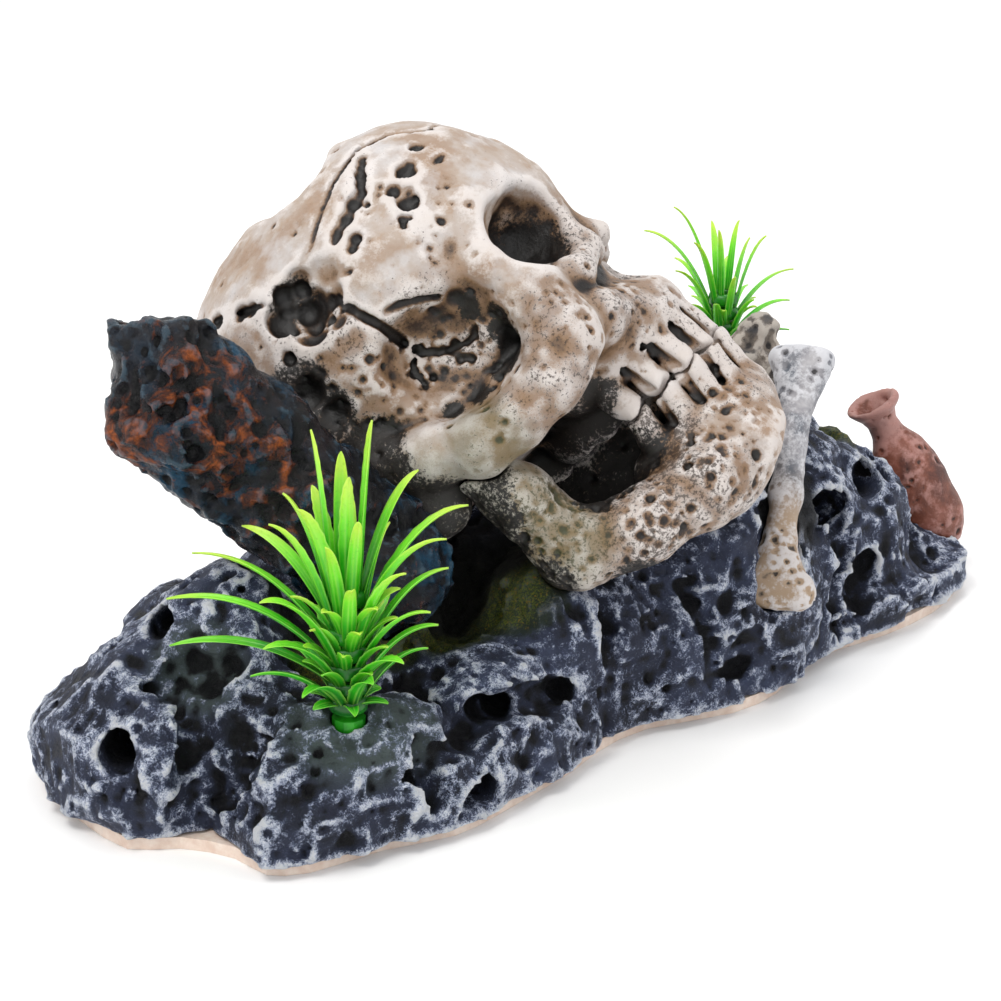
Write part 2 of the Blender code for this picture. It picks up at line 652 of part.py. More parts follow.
def air_line_route():
    """The inner air line's middle line: out of the air stone, round a bend, back to the port."""
    start_x = AIR_STONE_AT[0] + AIR_STONE_LENGTH / 2 + 2.6
    y, z = AIR_STONE_AT[1:]
    bend = 12.0
    route = [Vector((start_x, y, z)), Vector((PORT_X - bend, y, z))]
    for step in range(1, 9):
        angle = math.radians(90) * step / 8
        lift = (PORT_Z - z) * step / 8
        route.append(Vector((PORT_X - bend + bend * math.sin(angle),
                             y + bend * (1 - math.cos(angle)), z + lift)))
    route.append(Vector((PORT_X, PORT_Y - 10.5, PORT_Z)))
    return route


def make_air_parts():
    x, y, z = AIR_STONE_AT
    half = AIR_STONE_LENGTH / 2
    end = (x + half, y, z)
    r = AIR_STONE_RADIUS
    stone = [(0, 0), (r - 1, 0), (r, 1), (r, 2 * half - 1), (r - 1, 2 * half), (1.6, 2 * half),
             (1.6, 2 * half - 6), (0, 2 * half - 6)]
    finished("air_stone", turned("stone", stone, (x - half, y, z), end, 16), (0.42, 0.42, 0.45), 0.95)
    nipple = [(-5.5, 1.3), (0.3, 1.3), (0.3, 3.0), (2.0, 3.0), (2.0, 1.7), (9, 1.7), (10, 1.2)]
    points = [(x + half + along, y, z) for along, _ in nipple]
    finished("air_stone_nipple", pipe("nipple", points, [r for _, r in nipple], 0.6, 12),
             (0.85, 0.85, 0.86), 0.4)
    route = air_line_route()
    finished("inner_airline", pipe("line", route, [TUBE_RADIUS] * len(route), TUBE_BORE, 12),
             (0.75, 0.8, 0.8), 0.25)
    seat = [(-7, GROMMET_RADIUS), (0.3, GROMMET_RADIUS), (0.3, FLANGE_RADIUS), (2, FLANGE_RADIUS)]
    points = [(PORT_X, PORT_Y + along, PORT_Z) for along, _ in seat]
    finished("elbow_grommet", pipe("grommet", points, [r for _, r in seat], GROMMET_BORE, 20),
             (0.03, 0.03, 0.03), 0.7)
    make_elbow()


def make_elbow():
    """The swivelling elbow: a spigot through the grommet, a round bend, and a barbed arm."""
    bend, corner_y = 3.5, PORT_Y + 7.5
    places = [(PORT_Y - 16, 1.2), (PORT_Y - 15, 1.7), (PORT_Y - 10, 1.7), (PORT_Y - 10, 1.9),
              (PORT_Y + 2.4, 1.9), (PORT_Y + 2.4, 3.4), (corner_y - bend, 3.0)]
    points = [(PORT_X, along, PORT_Z) for along, _ in places]
    radii = [r for _, r in places]
    for step in range(1, 6):
        angle = math.radians(90) * step / 5
        points.append((PORT_X, corner_y - bend + bend * math.sin(angle),
                       PORT_Z + bend * (1 - math.cos(angle))))
        radii.append(3.0)
    for height, radius in ((6.0, 3.0), (6.0, 1.9), (8.5, 1.9), (8.5, 2.6), (11, 2.0), (11, 2.6),
                           (13.5, 2.0), (13.5, 2.6), (16, 1.7)):
        points.append((PORT_X, corner_y, PORT_Z + height))
        radii.append(radius)
    axis = bpy.data.objects.new("air_elbow_axis", None)
    axis.location = Vector((PORT_X, corner_y, PORT_Z)) * MM
    bpy.context.scene.collection.objects.link(axis)
    elbow = finished("air_elbow", pipe("elbow", points, radii, 0.9, 12), (0.05, 0.05, 0.055), 0.4,
                     origin=(PORT_X, corner_y, PORT_Z))
    elbow.parent = axis
    elbow.location = (0, 0, 0)


def air_cutters():
    """The chamber, the air line's groove, the port, the bubble shaft and the elbow's recess."""
    x, y, z = AIR_STONE_AT
    low, roof = -10, 2 * z + 2
    half = AIR_STONE_LENGTH / 2
    return [
        box((x - half - 3, y - 8.5, low), (x + half + 5, y + 8.5, roof)),
        box((x + half + 3, y - 5, low), (PORT_X + 5, y + 6, PORT_Z + 5)),
        box((PORT_X - 8, y - 3, low), (PORT_X + 5, PORT_Y - 8, PORT_Z + 4.9)),
        cylinder((PORT_X, PORT_Y - 12, PORT_Z), (PORT_X, PORT_Y + 5, PORT_Z), GROMMET_RADIUS + JOINT_GAP),
        cylinder((PORT_X, PORT_Y, PORT_Z), (PORT_X, PORT_Y + 40, PORT_Z), SWING_RADIUS, 40),
        cylinder((*SHAFT_AT, roof - 3), (*SHAFT_AT, 80), SHAFT_RADIUS),
    ]


# ---------------------------------------------------------------- the assembly

def outline(inset):
    """The rock's plan outline as a smooth closed curve, moved inwards."""
    corners = [Vector(corner) for corner in FOOTPRINT]
    count, rounded = len(corners), []
    for i in range(count):
        a, b, c, d = (corners[(i + k) % count] for k in range(-1, 3))
        for share in (0, 0.5):
            spot = 0.5 * (2 * b + (c - a) * share + (2 * a - 5 * b + 4 * c - d) * share ** 2
                          + (3 * b - 3 * c + d - a) * share ** 3)
            rounded.append(spot)
    total, moved = len(rounded), []
    for i, spot in enumerate(rounded):
        way = (rounded[(i + 1) % total] - rounded[i - 1]).normalized()
        moved.append(spot + inset * Vector((-way.y, way.x)))
    return moved


def plate_mesh():
    edge = outline(PLATE_INSET)
    sides = len(edge)
    corners = [(x, y, height) for height in (0, PLATE_THICK) for x, y in edge]
    faces = ring_faces(0, sides, sides)
    faces += [tuple(range(sides))[::-1], tuple(range(sides, 2 * sides))]
    return mesh_of("plate", corners, faces)


def plant_seat(foot):
    """The hole for a plant's plug, with a flat round seat over it."""
    foot = Vector(foot)
    low, high = foot - Vector((0, 0, PLUG_DEPTH + JOINT_GAP)), foot + Vector((0, 0, 40))
    hole, seat = PLUG_RADIUS + JOINT_GAP, RING_RADIUS + 1
    profile = [(0, 0), (hole, 0), (hole, foot.z - low.z), (seat, foot.z - low.z),
               (seat, high.z - low.z), (0, high.z - low.z)]
    return turned("seat", profile, low, high, 16)


def jar_mesh():
    outside = [(0, 0), (3.4, 0), (5.4, 3), (6.8, 9), (6.9, 15), (5.6, 22), (3.2, 27), (2.9, 29.5),
               (5.3, 33.4), (5.2, 34.4)]
    inside = [(4.4, 34.2), (2.0, 29.5), (1.8, 25), (0, 24.5)]
    return turned("jar", outside + inside, JAR_FOOT, JAR_MOUTH, 16)


def main():
    for thing in list(bpy.data.objects):
        bpy.data.objects.remove(thing, do_unlink=True)

    face = SKULL_FACE.normalized()
    crown = (SKULL_CROWN - face * SKULL_CROWN.dot(face)).normalized()
    turn = Matrix((face, crown.cross(face), crown)).transposed()
    skull = cast("skull", skull_clay(1.3), 3200, turn, SKULL_AT)
    jaw = cut_back(cast("jaw", jaw_clay(1.3), 1300, turn, SKULL_AT), [skull])
    log = cut_back(cast("log", log_clay(1.6), 500), [skull, jaw])
    bone = cut_back(cast("bone", bone_clay(1.0), 400), [jaw])
    stone = cast("stone", stone_clay(1.2), 200)
    jar = jar_mesh()
    rock = cast("rock", rock_clay(2.0), 3000)
    neighbours = [skull, jaw, log, bone, stone, jar]
    rock = cut_back(rock, neighbours, least=3000)
    rock = carved(rock, air_cutters() + [plant_seat(FRONT_PLANT), plant_seat(REAR_PLANT)])
    rock = carved(rock, [box((-150, -100, -60), (150, 100, ROCK_BOTTOM))])

    finished("base_plate", plate_mesh(), (0.75, 0.62, 0.52), 0.8)
    finished("rock_base", rock, (0.13, 0.15, 0.18), 0.6)
    finished("skull", skull, (0.62, 0.55, 0.44), 0.6)
    finished("jaw", jaw, (0.60, 0.52, 0.41), 0.6)
    finished("broken_log", log, (0.05, 0.09, 0.12), 0.4)
    finished("leg_bone", bone, (0.45, 0.43, 0.38), 0.6)
    finished("rear_stone", stone, (0.25, 0.22, 0.19), 0.8)
    finished("clay_jar", jar, (0.30, 0.12, 0.07), 0.6)
    leaf_green = (0.25, 0.75, 0.05)
    make_plant("front_plant", FRONT_PLANT, FRONT_WHORLS, FRONT_TUFT, leaf_green)
    make_plant("rear_plant", REAR_PLANT, REAR_WHORLS, REAR_TUFT, leaf_green)
    make_air_parts()


main()
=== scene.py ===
"""Looks of the aquarium bubbling ornament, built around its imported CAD.

The castings are modelled again as clay, a fine grid of signed distances, with the same shapes as in
part.py and then the pits, cracks, crags and chips that a coarse solid leaves out. Each vertex gets
relief values (how proud or sunken it lies at three scales) that the paint materials read, the way a
dark wash settles in hollows and a dry brush catches ridges. Lengths are millimetres until mesh_of().
"""

import math

import bpy
import numpy as np
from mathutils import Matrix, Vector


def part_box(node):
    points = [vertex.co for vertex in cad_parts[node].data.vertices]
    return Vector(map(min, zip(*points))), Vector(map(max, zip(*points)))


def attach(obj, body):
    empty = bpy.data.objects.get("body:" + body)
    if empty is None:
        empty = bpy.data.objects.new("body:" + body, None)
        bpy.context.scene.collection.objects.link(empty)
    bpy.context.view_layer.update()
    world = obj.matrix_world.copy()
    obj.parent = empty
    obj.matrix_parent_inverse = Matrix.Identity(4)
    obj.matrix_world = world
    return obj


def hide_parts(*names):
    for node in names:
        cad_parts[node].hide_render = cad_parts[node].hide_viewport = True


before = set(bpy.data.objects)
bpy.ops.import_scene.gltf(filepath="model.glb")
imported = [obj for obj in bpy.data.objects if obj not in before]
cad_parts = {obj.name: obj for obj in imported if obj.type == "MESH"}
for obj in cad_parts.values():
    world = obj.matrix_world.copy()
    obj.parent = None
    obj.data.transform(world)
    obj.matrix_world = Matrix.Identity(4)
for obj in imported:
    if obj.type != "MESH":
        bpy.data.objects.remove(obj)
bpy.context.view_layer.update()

import openvdb
from mathutils import Matrix, Vector

MM = 0.001
COARSE = 1.0            # scales every grid cell; above 1 gives bigger cells
SKULL_STEP, ROCK_STEP, SMALL_STEP = 0.52 * COARSE, 0.66 * COARSE, 0.45 * COARSE


def middle(node):
    """The middle of a CAD node's box, in millimetres."""
    low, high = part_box(node)
    return (low + high) / 2 / MM


# ---------------------------------------------------------------- camera, light and floor

CAMERA_AZIMUTH, CAMERA_ELEVATION = -40.0, 20.0
CAMERA_DISTANCE, CAMERA_LENS = 400.0, 86.0
CAMERA_TARGET = Vector((-24, -14, 42))


def toward(azimuth, elevation):
    """The unit vector from the object towards this azimuth from the front and this height."""
    turn, lift = math.radians(azimuth), math.radians(elevation)
    return Vector((math.sin(turn) * math.cos(lift), -math.cos(turn) * math.cos(lift), math.sin(lift)))


def add_camera():
    """The camera at the front left, a little above the ornament."""
    camera = bpy.data.cameras.new("camera")
    camera.lens, camera.sensor_width = CAMERA_LENS, 36
    camera.clip_start = 0.01
    holder = bpy.data.objects.new("camera", camera)
    bpy.context.scene.collection.objects.link(holder)
    way = toward(CAMERA_AZIMUTH, CAMERA_ELEVATION)
    holder.location = (CAMERA_TARGET + CAMERA_DISTANCE * way) * MM
    holder.rotation_euler = way.to_track_quat("Z", "Y").to_euler()
    bpy.context.scene.camera = holder


def add_light(name, azimuth, elevation, distance, size, power, colour=(1, 1, 1)):
    """A round soft lamp that points at the ornament."""
    light = bpy.data.lights.new(name, "AREA")
    light.shape, light.size, light.energy, light.color = "DISK", size, power, colour
    holder = bpy.data.objects.new(name, light)
    way = toward(azimuth, elevation)
    holder.location = CAMERA_TARGET * MM + distance * way
    holder.rotation_euler = way.to_track_quat("Z", "Y").to_euler()
    bpy.context.scene.collection.objects.link(holder)


def add_stage():
    """A pale floor, plain sky light and three soft lamps."""
    scene = bpy.context.scene
    scene.view_settings.view_transform = "Standard"
    world = bpy.data.worlds.new("studio")
    scene.world = world
    world.use_nodes = True
    background = world.node_tree.nodes["Background"]
    background.inputs["Color"].default_value = (1.0, 1.0, 1.0, 1)
    background.inputs["Strength"].default_value = 1.0
    add_light("key", -80, 60, 0.9, 0.4, 3.4, (1.0, 0.98, 0.95))
    add_light("fill", 10, 35, 1.0, 0.5, 0.5, (0.95, 0.97, 1.0))
    add_light("rim", 120, 60, 1.0, 0.35, 1.2)
    floor = bpy.data.meshes.new("floor")
    floor.from_pydata([(-3, -3, 0), (3, -3, 0), (3, 3, 0), (-3, 3, 0)], [], [(0, 1, 2, 3)])
    board = bpy.data.objects.new("floor", floor)
    board.location.z = -0.00005
    scene.collection.objects.link(board)
    paint = Paint("floor_paint", roughness=0.8)
    paint.base_colour(paint.ramp(paint.noise(0.004, 2), [(0.3, "fdfdfd"), (0.7, "fafafa")]))
    floor.materials.append(paint.material)


# ---------------------------------------------------------------- paint

def tint(code, alpha=1.0):
    """A colour given as rrggbb, in the linear values that shaders take."""
    values = [int(code[i:i + 2], 16) / 255 for i in (0, 2, 4)]
    linear = [v / 12.92 if v < 0.04045 else ((v + 0.055) / 1.055) ** 2.4 for v in values]
    return (*linear, alpha)


class Paint:
    """A procedural material. Scales are per millimetre, and coordinates move with the piece."""

    def __init__(self, name, roughness=0.5, **settings):
        self.material = bpy.data.materials.new(name)
        self.material.use_nodes = True
        self.tree = self.material.node_tree
        self.shader = self.tree.nodes["Principled BSDF"]
        self.shader.inputs["Roughness"].default_value = roughness
        for socket, value in settings.items():
            self.shader.inputs[socket.replace("_", " ")].default_value = value
        self.place = self.tree.nodes.new("ShaderNodeTexCoord").outputs["Object"]

    def node(self, kind, inputs, **options):
        made = self.tree.nodes.new(kind)
        for option, value in options.items():
            setattr(made, option, value)
        for socket, value in inputs.items():
            if isinstance(value, bpy.types.NodeSocket):
                self.tree.links.new(value, made.inputs[socket])
            else:
                made.inputs[socket].default_value = value
        return made

    def noise(self, scale, detail=3.0, rough=0.55, distortion=0.0, offset=0.0):
        place = self.place
        if offset:
            place = self.node("ShaderNodeVectorMath", {0: place, 1: (offset,) * 3}).outputs[0]
        return self.node("ShaderNodeTexNoise", {
            "Vector": place, "Scale": scale / MM, "Detail": detail, "Roughness": rough,
            "Distortion": distortion}).outputs["Fac"]

    def cells(self, scale, feature="F1", randomness=1.0):
        made = self.node("ShaderNodeTexVoronoi", {
            "Vector": self.place, "Scale": scale / MM, "Randomness": randomness}, feature=feature)
        return made.outputs["Distance"]

    def relief(self, name):
        return self.node("ShaderNodeAttribute", {}, attribute_name=name).outputs["Fac"]

    def span(self, value, low, high, start=0.0, end=1.0):
        """Maps low..high to start..end, clamped."""
        return self.node("ShaderNodeMapRange", {
            "Value": value, "From Min": low, "From Max": high, "To Min": start, "To Max": end}
        ).outputs[0]

    def math(self, operation, a, b=0.0):
        return self.node("ShaderNodeMath", {0: a, 1: b}, operation=operation).outputs[0]

    def add(self, *terms):
        total = terms[0]
        for term in terms[1:]:
            total = self.math("ADD", total, term)
        return total

    def scaled(self, value, factor):
        return self.math("MULTIPLY", value, factor)

    def ramp(self, value, stops):
        made = self.node("ShaderNodeValToRGB", {"Fac": value})
        steps = made.color_ramp.elements
        for index, (place, code) in enumerate(stops):
            step = steps[index] if index < 2 else steps.new(place)
            step.position = place
            step.color = tint(code)
        return made.outputs["Color"]

    def over(self, under, colour, share):
        """This colour, or its code, laid over the paint under it by this share."""
        made = self.tree.nodes.new("ShaderNodeMix")
        made.data_type = "RGBA"
        self.link(share, made.inputs["Factor"])
        self.link(under, made.inputs[6])
        self.link(colour, made.inputs[7])
        return made.outputs[2]

    def link(self, value, socket):
        if isinstance(value, bpy.types.NodeSocket):
            self.tree.links.new(value, socket)
        else:
            socket.default_value = tint(value) if isinstance(value, str) else value

    def base_colour(self, colour):
        self.link(colour, self.shader.inputs["Base Color"])

    def gloss(self, value):
        self.link(value, self.shader.inputs["Roughness"])

    def bumps(self, *layers):
        """Each layer is (height socket, height in millimetres, strength)."""
        normal = None
        for height, size, strength in layers:
            inputs = {"Height": height, "Distance": size * MM, "Strength": strength}
            if normal:
                inputs["Normal"] = normal
            normal = self.node("ShaderNodeBump", inputs).outputs["Normal"]
        self.link(normal, self.shader.inputs["Normal"])


def bone_paint(name, warm, dark_share):
    """Ivory resin with a brown wash in the hollows and a grey-white dry brush on what stands proud."""
    paint = Paint(name, roughness=0.55)
    fine, mid, broad = paint.relief("fine"), paint.relief("mid"), paint.relief("broad")
    painted_shade, moss, stain_and_shade = paint.relief("painted_shade"), paint.relief("moss"), paint.relief("stain_and_shade")
    patch = paint.noise(0.08, 4, 0.6)
    streak = paint.noise(0.35, 5, 0.65, 0.6, offset=0.3)
    speck = paint.noise(1.6, 5, 0.75, offset=0.7)
    colour = paint.ramp(patch, [(0.36, "9b8370"), (0.5, "ab9b8e"), (0.66, "bab1ad")])
    colour = paint.over(colour, "a07f5f", paint.span(streak, 0.52, 0.72, 0, 0.5 * warm))
    colour = paint.over(colour, "c9c8ca", paint.span(paint.noise(0.16, 4, offset=1.7), 0.5, 0.68, 0, 0.6))
    # Brown stain, which on the cheeks, the outer arches and the jaw's sides is also painted shade on the
    # sides turned from the light.
    colour = paint.over(colour, "7c5f47", paint.scaled(stain_and_shade, 0.6))
    wash = paint.add(paint.scaled(mid, -2.6), paint.scaled(fine, -1.3), paint.scaled(broad, -1.0),
                     paint.scaled(speck, 0.6), paint.scaled(streak, 0.35), -0.46,
                     paint.scaled(stain_and_shade, 0.4))
    colour = paint.over(colour, "80603f", paint.span(wash, 0.04, 0.4, 0, 0.8))
    colour = paint.over(colour, "3b281c", paint.span(wash, 0.34, 0.72, 0, 0.95))
    colour = paint.over(colour, "120e0c", paint.span(wash, 0.62, 1.0, 0, 1))
    bright = paint.add(paint.scaled(mid, 1.4), paint.scaled(fine, 2.0), paint.scaled(speck, 0.9),
                       paint.scaled(patch, 0.4), -0.78)
    colour = paint.over(colour, "dcd6d3", paint.span(bright, 0.04, 0.4, 0, 0.7))
    grit = paint.add(paint.scaled(speck, 1.2), paint.scaled(patch, 0.5), paint.scaled(stain_and_shade, 0.13))
    colour = paint.over(colour, "33251b", paint.span(grit, 1.03 - dark_share, 1.13 - dark_share, 0, 0.85))
    colour = paint.over(colour, "5d6238", paint.scaled(moss, 0.38))
    # Near-black painted shade in the sockets, the mouth and its throat webs, the temple hollow and under the
    # arches.
    painted_shade_cover = paint.add(painted_shade, paint.scaled(speck, 2.6), paint.scaled(mid, -1.4), -1.4)
    colour = paint.over(colour, "0d0b0a", paint.span(painted_shade_cover, 0.25, 0.62, 0, 0.97))
    paint.base_colour(colour)
    paint.gloss(paint.span(wash, 0.1, 0.7, 0.55, 0.4))
    paint.bumps((speck, 0.24, 0.6), (paint.noise(0.7, 4, 0.7), 0.3, 0.5))
    return paint.material


def rock_paint():
    """Charcoal and slate resin, speckled and dry brushed with pale blue-grey where it stands proud."""
    paint = Paint("rock_paint", roughness=0.5, Specular_IOR_Level=0.4)
    fine, mid, broad = paint.relief("fine"), paint.relief("mid"), paint.relief("broad")
    moss, painted_shade, smooth = paint.relief("moss"), paint.relief("painted_shade"), paint.relief("smooth")
    patch = paint.noise(0.07, 3, 0.6)
    cloud = paint.noise(0.16, 4, 0.65, 0.4, offset=0.4)
    speck = paint.noise(1.5, 6, 0.8, 0.6, offset=0.9)
    grain = paint.noise(4.0, 4, 0.8, 0.3, offset=1.4)
    crags = paint.noise(0.45, 8, 0.72, 1.2, offset=2.3)
    vein = paint.span(paint.math("ABSOLUTE", paint.add(crags, -0.5)), 0.0, 0.035, 1, 0)
    colour = paint.ramp(patch, [(0.35, "171c2c"), (0.5, "262d44"), (0.68, "3c4560")])
    colour = paint.over(colour, "525e5c", paint.scaled(smooth, 0.85))
    wash = paint.add(paint.scaled(mid, -2.0), paint.scaled(fine, -1.2), paint.scaled(broad, -0.8),
                     paint.scaled(speck, 0.9), -0.5)
    colour = paint.over(colour, "0a0b10", paint.span(wash, 0.0, 0.5, 0, 0.97))
    brush = paint.add(paint.scaled(fine, 2.4), paint.scaled(mid, 0.8), paint.scaled(broad, 0.4),
                      paint.scaled(speck, 3.2), paint.scaled(grain, 1.8), paint.scaled(cloud, 2.0),
                      paint.scaled(smooth, -0.25), paint.scaled(vein, 0.45), -3.84)
    colour = paint.over(colour, "6d7a9c", paint.span(brush, 0.0, 0.35, 0, 0.8))
    colour = paint.over(colour, "d2dbef", paint.span(brush, 0.3, 0.7, 0, 0.92))
    colour = paint.over(colour, "f2f5fa", paint.span(brush, 0.7, 1.05, 0, 0.9))
    green = paint.add(moss, paint.scaled(speck, 0.8), paint.scaled(cloud, 0.5), -0.62)
    colour = paint.over(colour, "14230f", paint.span(green, 0.2, 0.5, 0, 0.9))
    mossy = paint.add(paint.scaled(green, 0.5), paint.scaled(grain, 2.4), paint.scaled(speck, 1.0), -1.7)
    lit = paint.math("MULTIPLY", paint.span(mossy, 0.4, 0.7), paint.span(green, 0.5, 0.8))
    colour = paint.over(colour, "5c6810", lit)
    colour = paint.over(colour, "94601a", paint.math("MULTIPLY", lit, paint.span(speck, 0.55, 0.65)))
    # Near-black painted shade on the rock under the skull, the jaw and the log, beside the leg bone and in
    # one hollow.
    colour = paint.over(colour, "07080b", paint.span(paint.add(painted_shade, paint.scaled(speck, 0.5), -0.25),
                                                     0.2, 0.8, 0, 0.95))
    paint.base_colour(colour)
    paint.gloss(paint.span(wash, 0.0, 0.6, 0.6, 0.38))
    paint.bumps((speck, 0.5, 0.8), (crags, 0.8, 1.6))
    return paint.material


def log_paint():
    """Blue-black lacquer with teal bloom, rust patches and black pits."""
    paint = Paint("log_paint", roughness=0.25, Specular_IOR_Level=0.28)
    fine, mid, rust = paint.relief("fine"), paint.relief("mid"), paint.relief("stain_and_shade")
    end, painted_shade = paint.relief("end"), paint.relief("painted_shade")
    patch = paint.noise(0.13, 4, 0.6, 0.5)
    streak = paint.noise(0.28, 5, 0.7, 0.7, offset=0.5)
    speck = paint.noise(1.0, 5, 0.75, offset=0.8)
    colour = paint.ramp(patch, [(0.36, "040508"), (0.5, "071420"), (0.64, "0d3a52")])
    colour = paint.over(colour, "170f14", paint.span(paint.noise(0.16, 3, offset=2.1), 0.48, 0.62, 0, 0.8))
    colour = paint.over(colour, "130e12", paint.scaled(end, 0.75))
    rusty = paint.add(paint.scaled(streak, 1.3), paint.scaled(rust, 0.2), paint.scaled(mid, 0.25),
                      paint.scaled(speck, 0.4), -0.48)
    colour = paint.over(colour, "4a200a", paint.span(rusty, 0.52, 0.62, 0, 0.85))
    colour = paint.over(colour, "9c4f1c", paint.span(rusty, 0.64, 0.82, 0, 0.85))
    # The wash also lays painted shade on the underside of the log near its foot.
    wash = paint.add(paint.scaled(mid, -2.2), paint.scaled(fine, -1.2), paint.scaled(speck, 0.8), -0.4,
                     paint.scaled(painted_shade, 0.9))
    colour = paint.over(colour, "06070a", paint.span(wash, 0.05, 0.45, 0, 0.96))
    bright = paint.add(paint.scaled(fine, 2.0), paint.scaled(speck, 1.6), -1.05)
    colour = paint.over(colour, "4a6474", paint.span(bright, 0.2, 0.6, 0, 0.4))
    paint.base_colour(colour)
    paint.gloss(paint.span(paint.add(rusty, paint.scaled(speck, 0.3)), 0.5, 0.95, 0.14, 0.45))
    paint.bumps((speck, 0.4, 0.7), (paint.noise(0.6, 6, 0.7, 0.8), 0.6, 1.0))
    return paint.material


def grey_bone_paint():
    """Grey-white resin, tan at the foot, with a black wash in its pits."""
    paint = Paint("grey_bone_paint", roughness=0.55)
    fine, mid, tan = paint.relief("fine"), paint.relief("mid"), paint.relief("stain_and_shade")
    patch, speck = paint.noise(0.13, 4, 0.6, 0.3), paint.noise(1.5, 4, 0.7, offset=0.6)
    colour = paint.ramp(patch, [(0.36, "565c66"), (0.5, "86858a"), (0.66, "b3b1b4")])
    colour = paint.over(colour, "a58b6e", paint.scaled(tan, 0.85))
    wash = paint.add(paint.scaled(mid, -2.2), paint.scaled(fine, -1.3), paint.scaled(speck, 0.8), -0.38)
    colour = paint.over(colour, "1d1b1d", paint.span(wash, 0.05, 0.5, 0, 0.92))
    colour = paint.over(colour, "dcdde2", paint.span(paint.add(paint.scaled(fine, 2.4), speck), 0.62, 0.9,
                                                     0, 0.6))
    paint.base_colour(colour)
    paint.bumps((paint.noise(2.2, 4, 0.7), 0.12, 0.5),)
    return paint.material


def stone_paint():
    """Brown-grey resin with a dark wash and pale edges."""
    paint = Paint("stone_paint", roughness=0.75)
    fine, mid = paint.relief("fine"), paint.relief("mid")
    patch, speck = paint.noise(0.12, 4, 0.6, 0.4), paint.noise(1.1, 5, 0.7, offset=0.6)
    colour = paint.ramp(patch, [(0.35, "3c3c40"), (0.5, "665c53"), (0.66, "8a8076")])
    wash = paint.add(paint.scaled(mid, -2.0), paint.scaled(fine, -1.2), paint.scaled(speck, 0.9), -0.42)
    colour = paint.over(colour, "1d1c1e", paint.span(wash, 0.05, 0.5, 0, 0.9))
    colour = paint.over(colour, "c9c0b6", paint.span(paint.add(paint.scaled(fine, 2.4), speck), 0.6, 0.9,
                                                     0, 0.6))
    paint.base_colour(colour)
    paint.bumps((paint.noise(1.6, 5, 0.7), 0.3, 0.7),)
    return paint.material


def jar_paint():
    """Reddish-brown resin, dusty and pinkish where it is rubbed."""
    paint = Paint("terracotta_paint", roughness=0.5)
    fine, mid = paint.relief("fine"), paint.relief("mid")
    patch, speck = paint.noise(0.16, 4, 0.6, 0.6), paint.noise(1.2, 4, 0.7, offset=0.6)
    colour = paint.ramp(patch, [(0.34, "4a231b"), (0.5, "74402f"), (0.68, "9a6357")])
    wash = paint.add(paint.scaled(mid, -2.0), paint.scaled(fine, -1.2), paint.scaled(speck, 0.8), -0.4)
    colour = paint.over(colour, "20100c", paint.span(wash, 0.05, 0.5, 0, 0.9))
    light = paint.add(paint.scaled(fine, 2.4), paint.scaled(speck, 0.7), paint.scaled(patch, 0.6))
    colour = paint.over(colour, "b98d86", paint.span(light, 0.76, 1.02, 0, 0.6))
    paint.base_colour(colour)
    paint.bumps((paint.noise(1.8, 4, 0.7), 0.2, 0.6),)
    return paint.material


def leaf_paint():
    """Soft glossy plastic: deep green at the root, lime along the leaf, yellowish at the tip."""
    paint = Paint("leaf_paint", roughness=0.32)
    shader = paint.shader
    shader.inputs["Subsurface Weight"].default_value = 0.35
    shader.inputs["Subsurface Radius"].default_value = (0.6, 1.0, 0.2)
    shader.inputs["Subsurface Scale"].default_value = 0.0015
    along, rib = paint.relief("along"), paint.relief("rib")
    cloud, grain = paint.noise(0.25, 3), paint.noise(1.4, 3, offset=0.5)
    share = paint.add(along, paint.scaled(cloud, 0.35), -0.175)
    colour = paint.ramp(share, [(0.0, "0a5c10"), (0.28, "2aa317"), (0.6, "78dc30"), (0.94, "b9e548")])
    colour = paint.over(colour, "b9ec6a", paint.span(rib, 0.4, 1.0, 0, 0.3))
    colour = paint.over(colour, "2f9a18", paint.span(grain, 0.56, 0.8, 0, 0.35))
    paint.base_colour(colour)
    paint.bumps((paint.noise(0.8, 3), 0.12, 0.35),)
    return paint.material


def plain_paint(name, roughness, stops, grain, bump, **settings):
    """A moulded plastic, rubber or sintered stone with a slight mottle and its own grain."""
    paint = Paint(name, roughness=roughness, **settings)
    paint.base_colour(paint.ramp(paint.noise(grain, 4, 0.6), stops))
    paint.bumps((paint.noise(grain * 3, 4, 0.7), bump, 0.6),)
    return paint.material


# ---------------------------------------------------------------- clay

def smooth_min(a, b, blend):
    """The lesser of two fields, rounded over where they are within this blend of each other."""
    share = np.clip(0.5 + 0.5 * (b - a) / blend, 0, 1)
    return b * (1 - share) + a * share - blend * share * (1 - share)


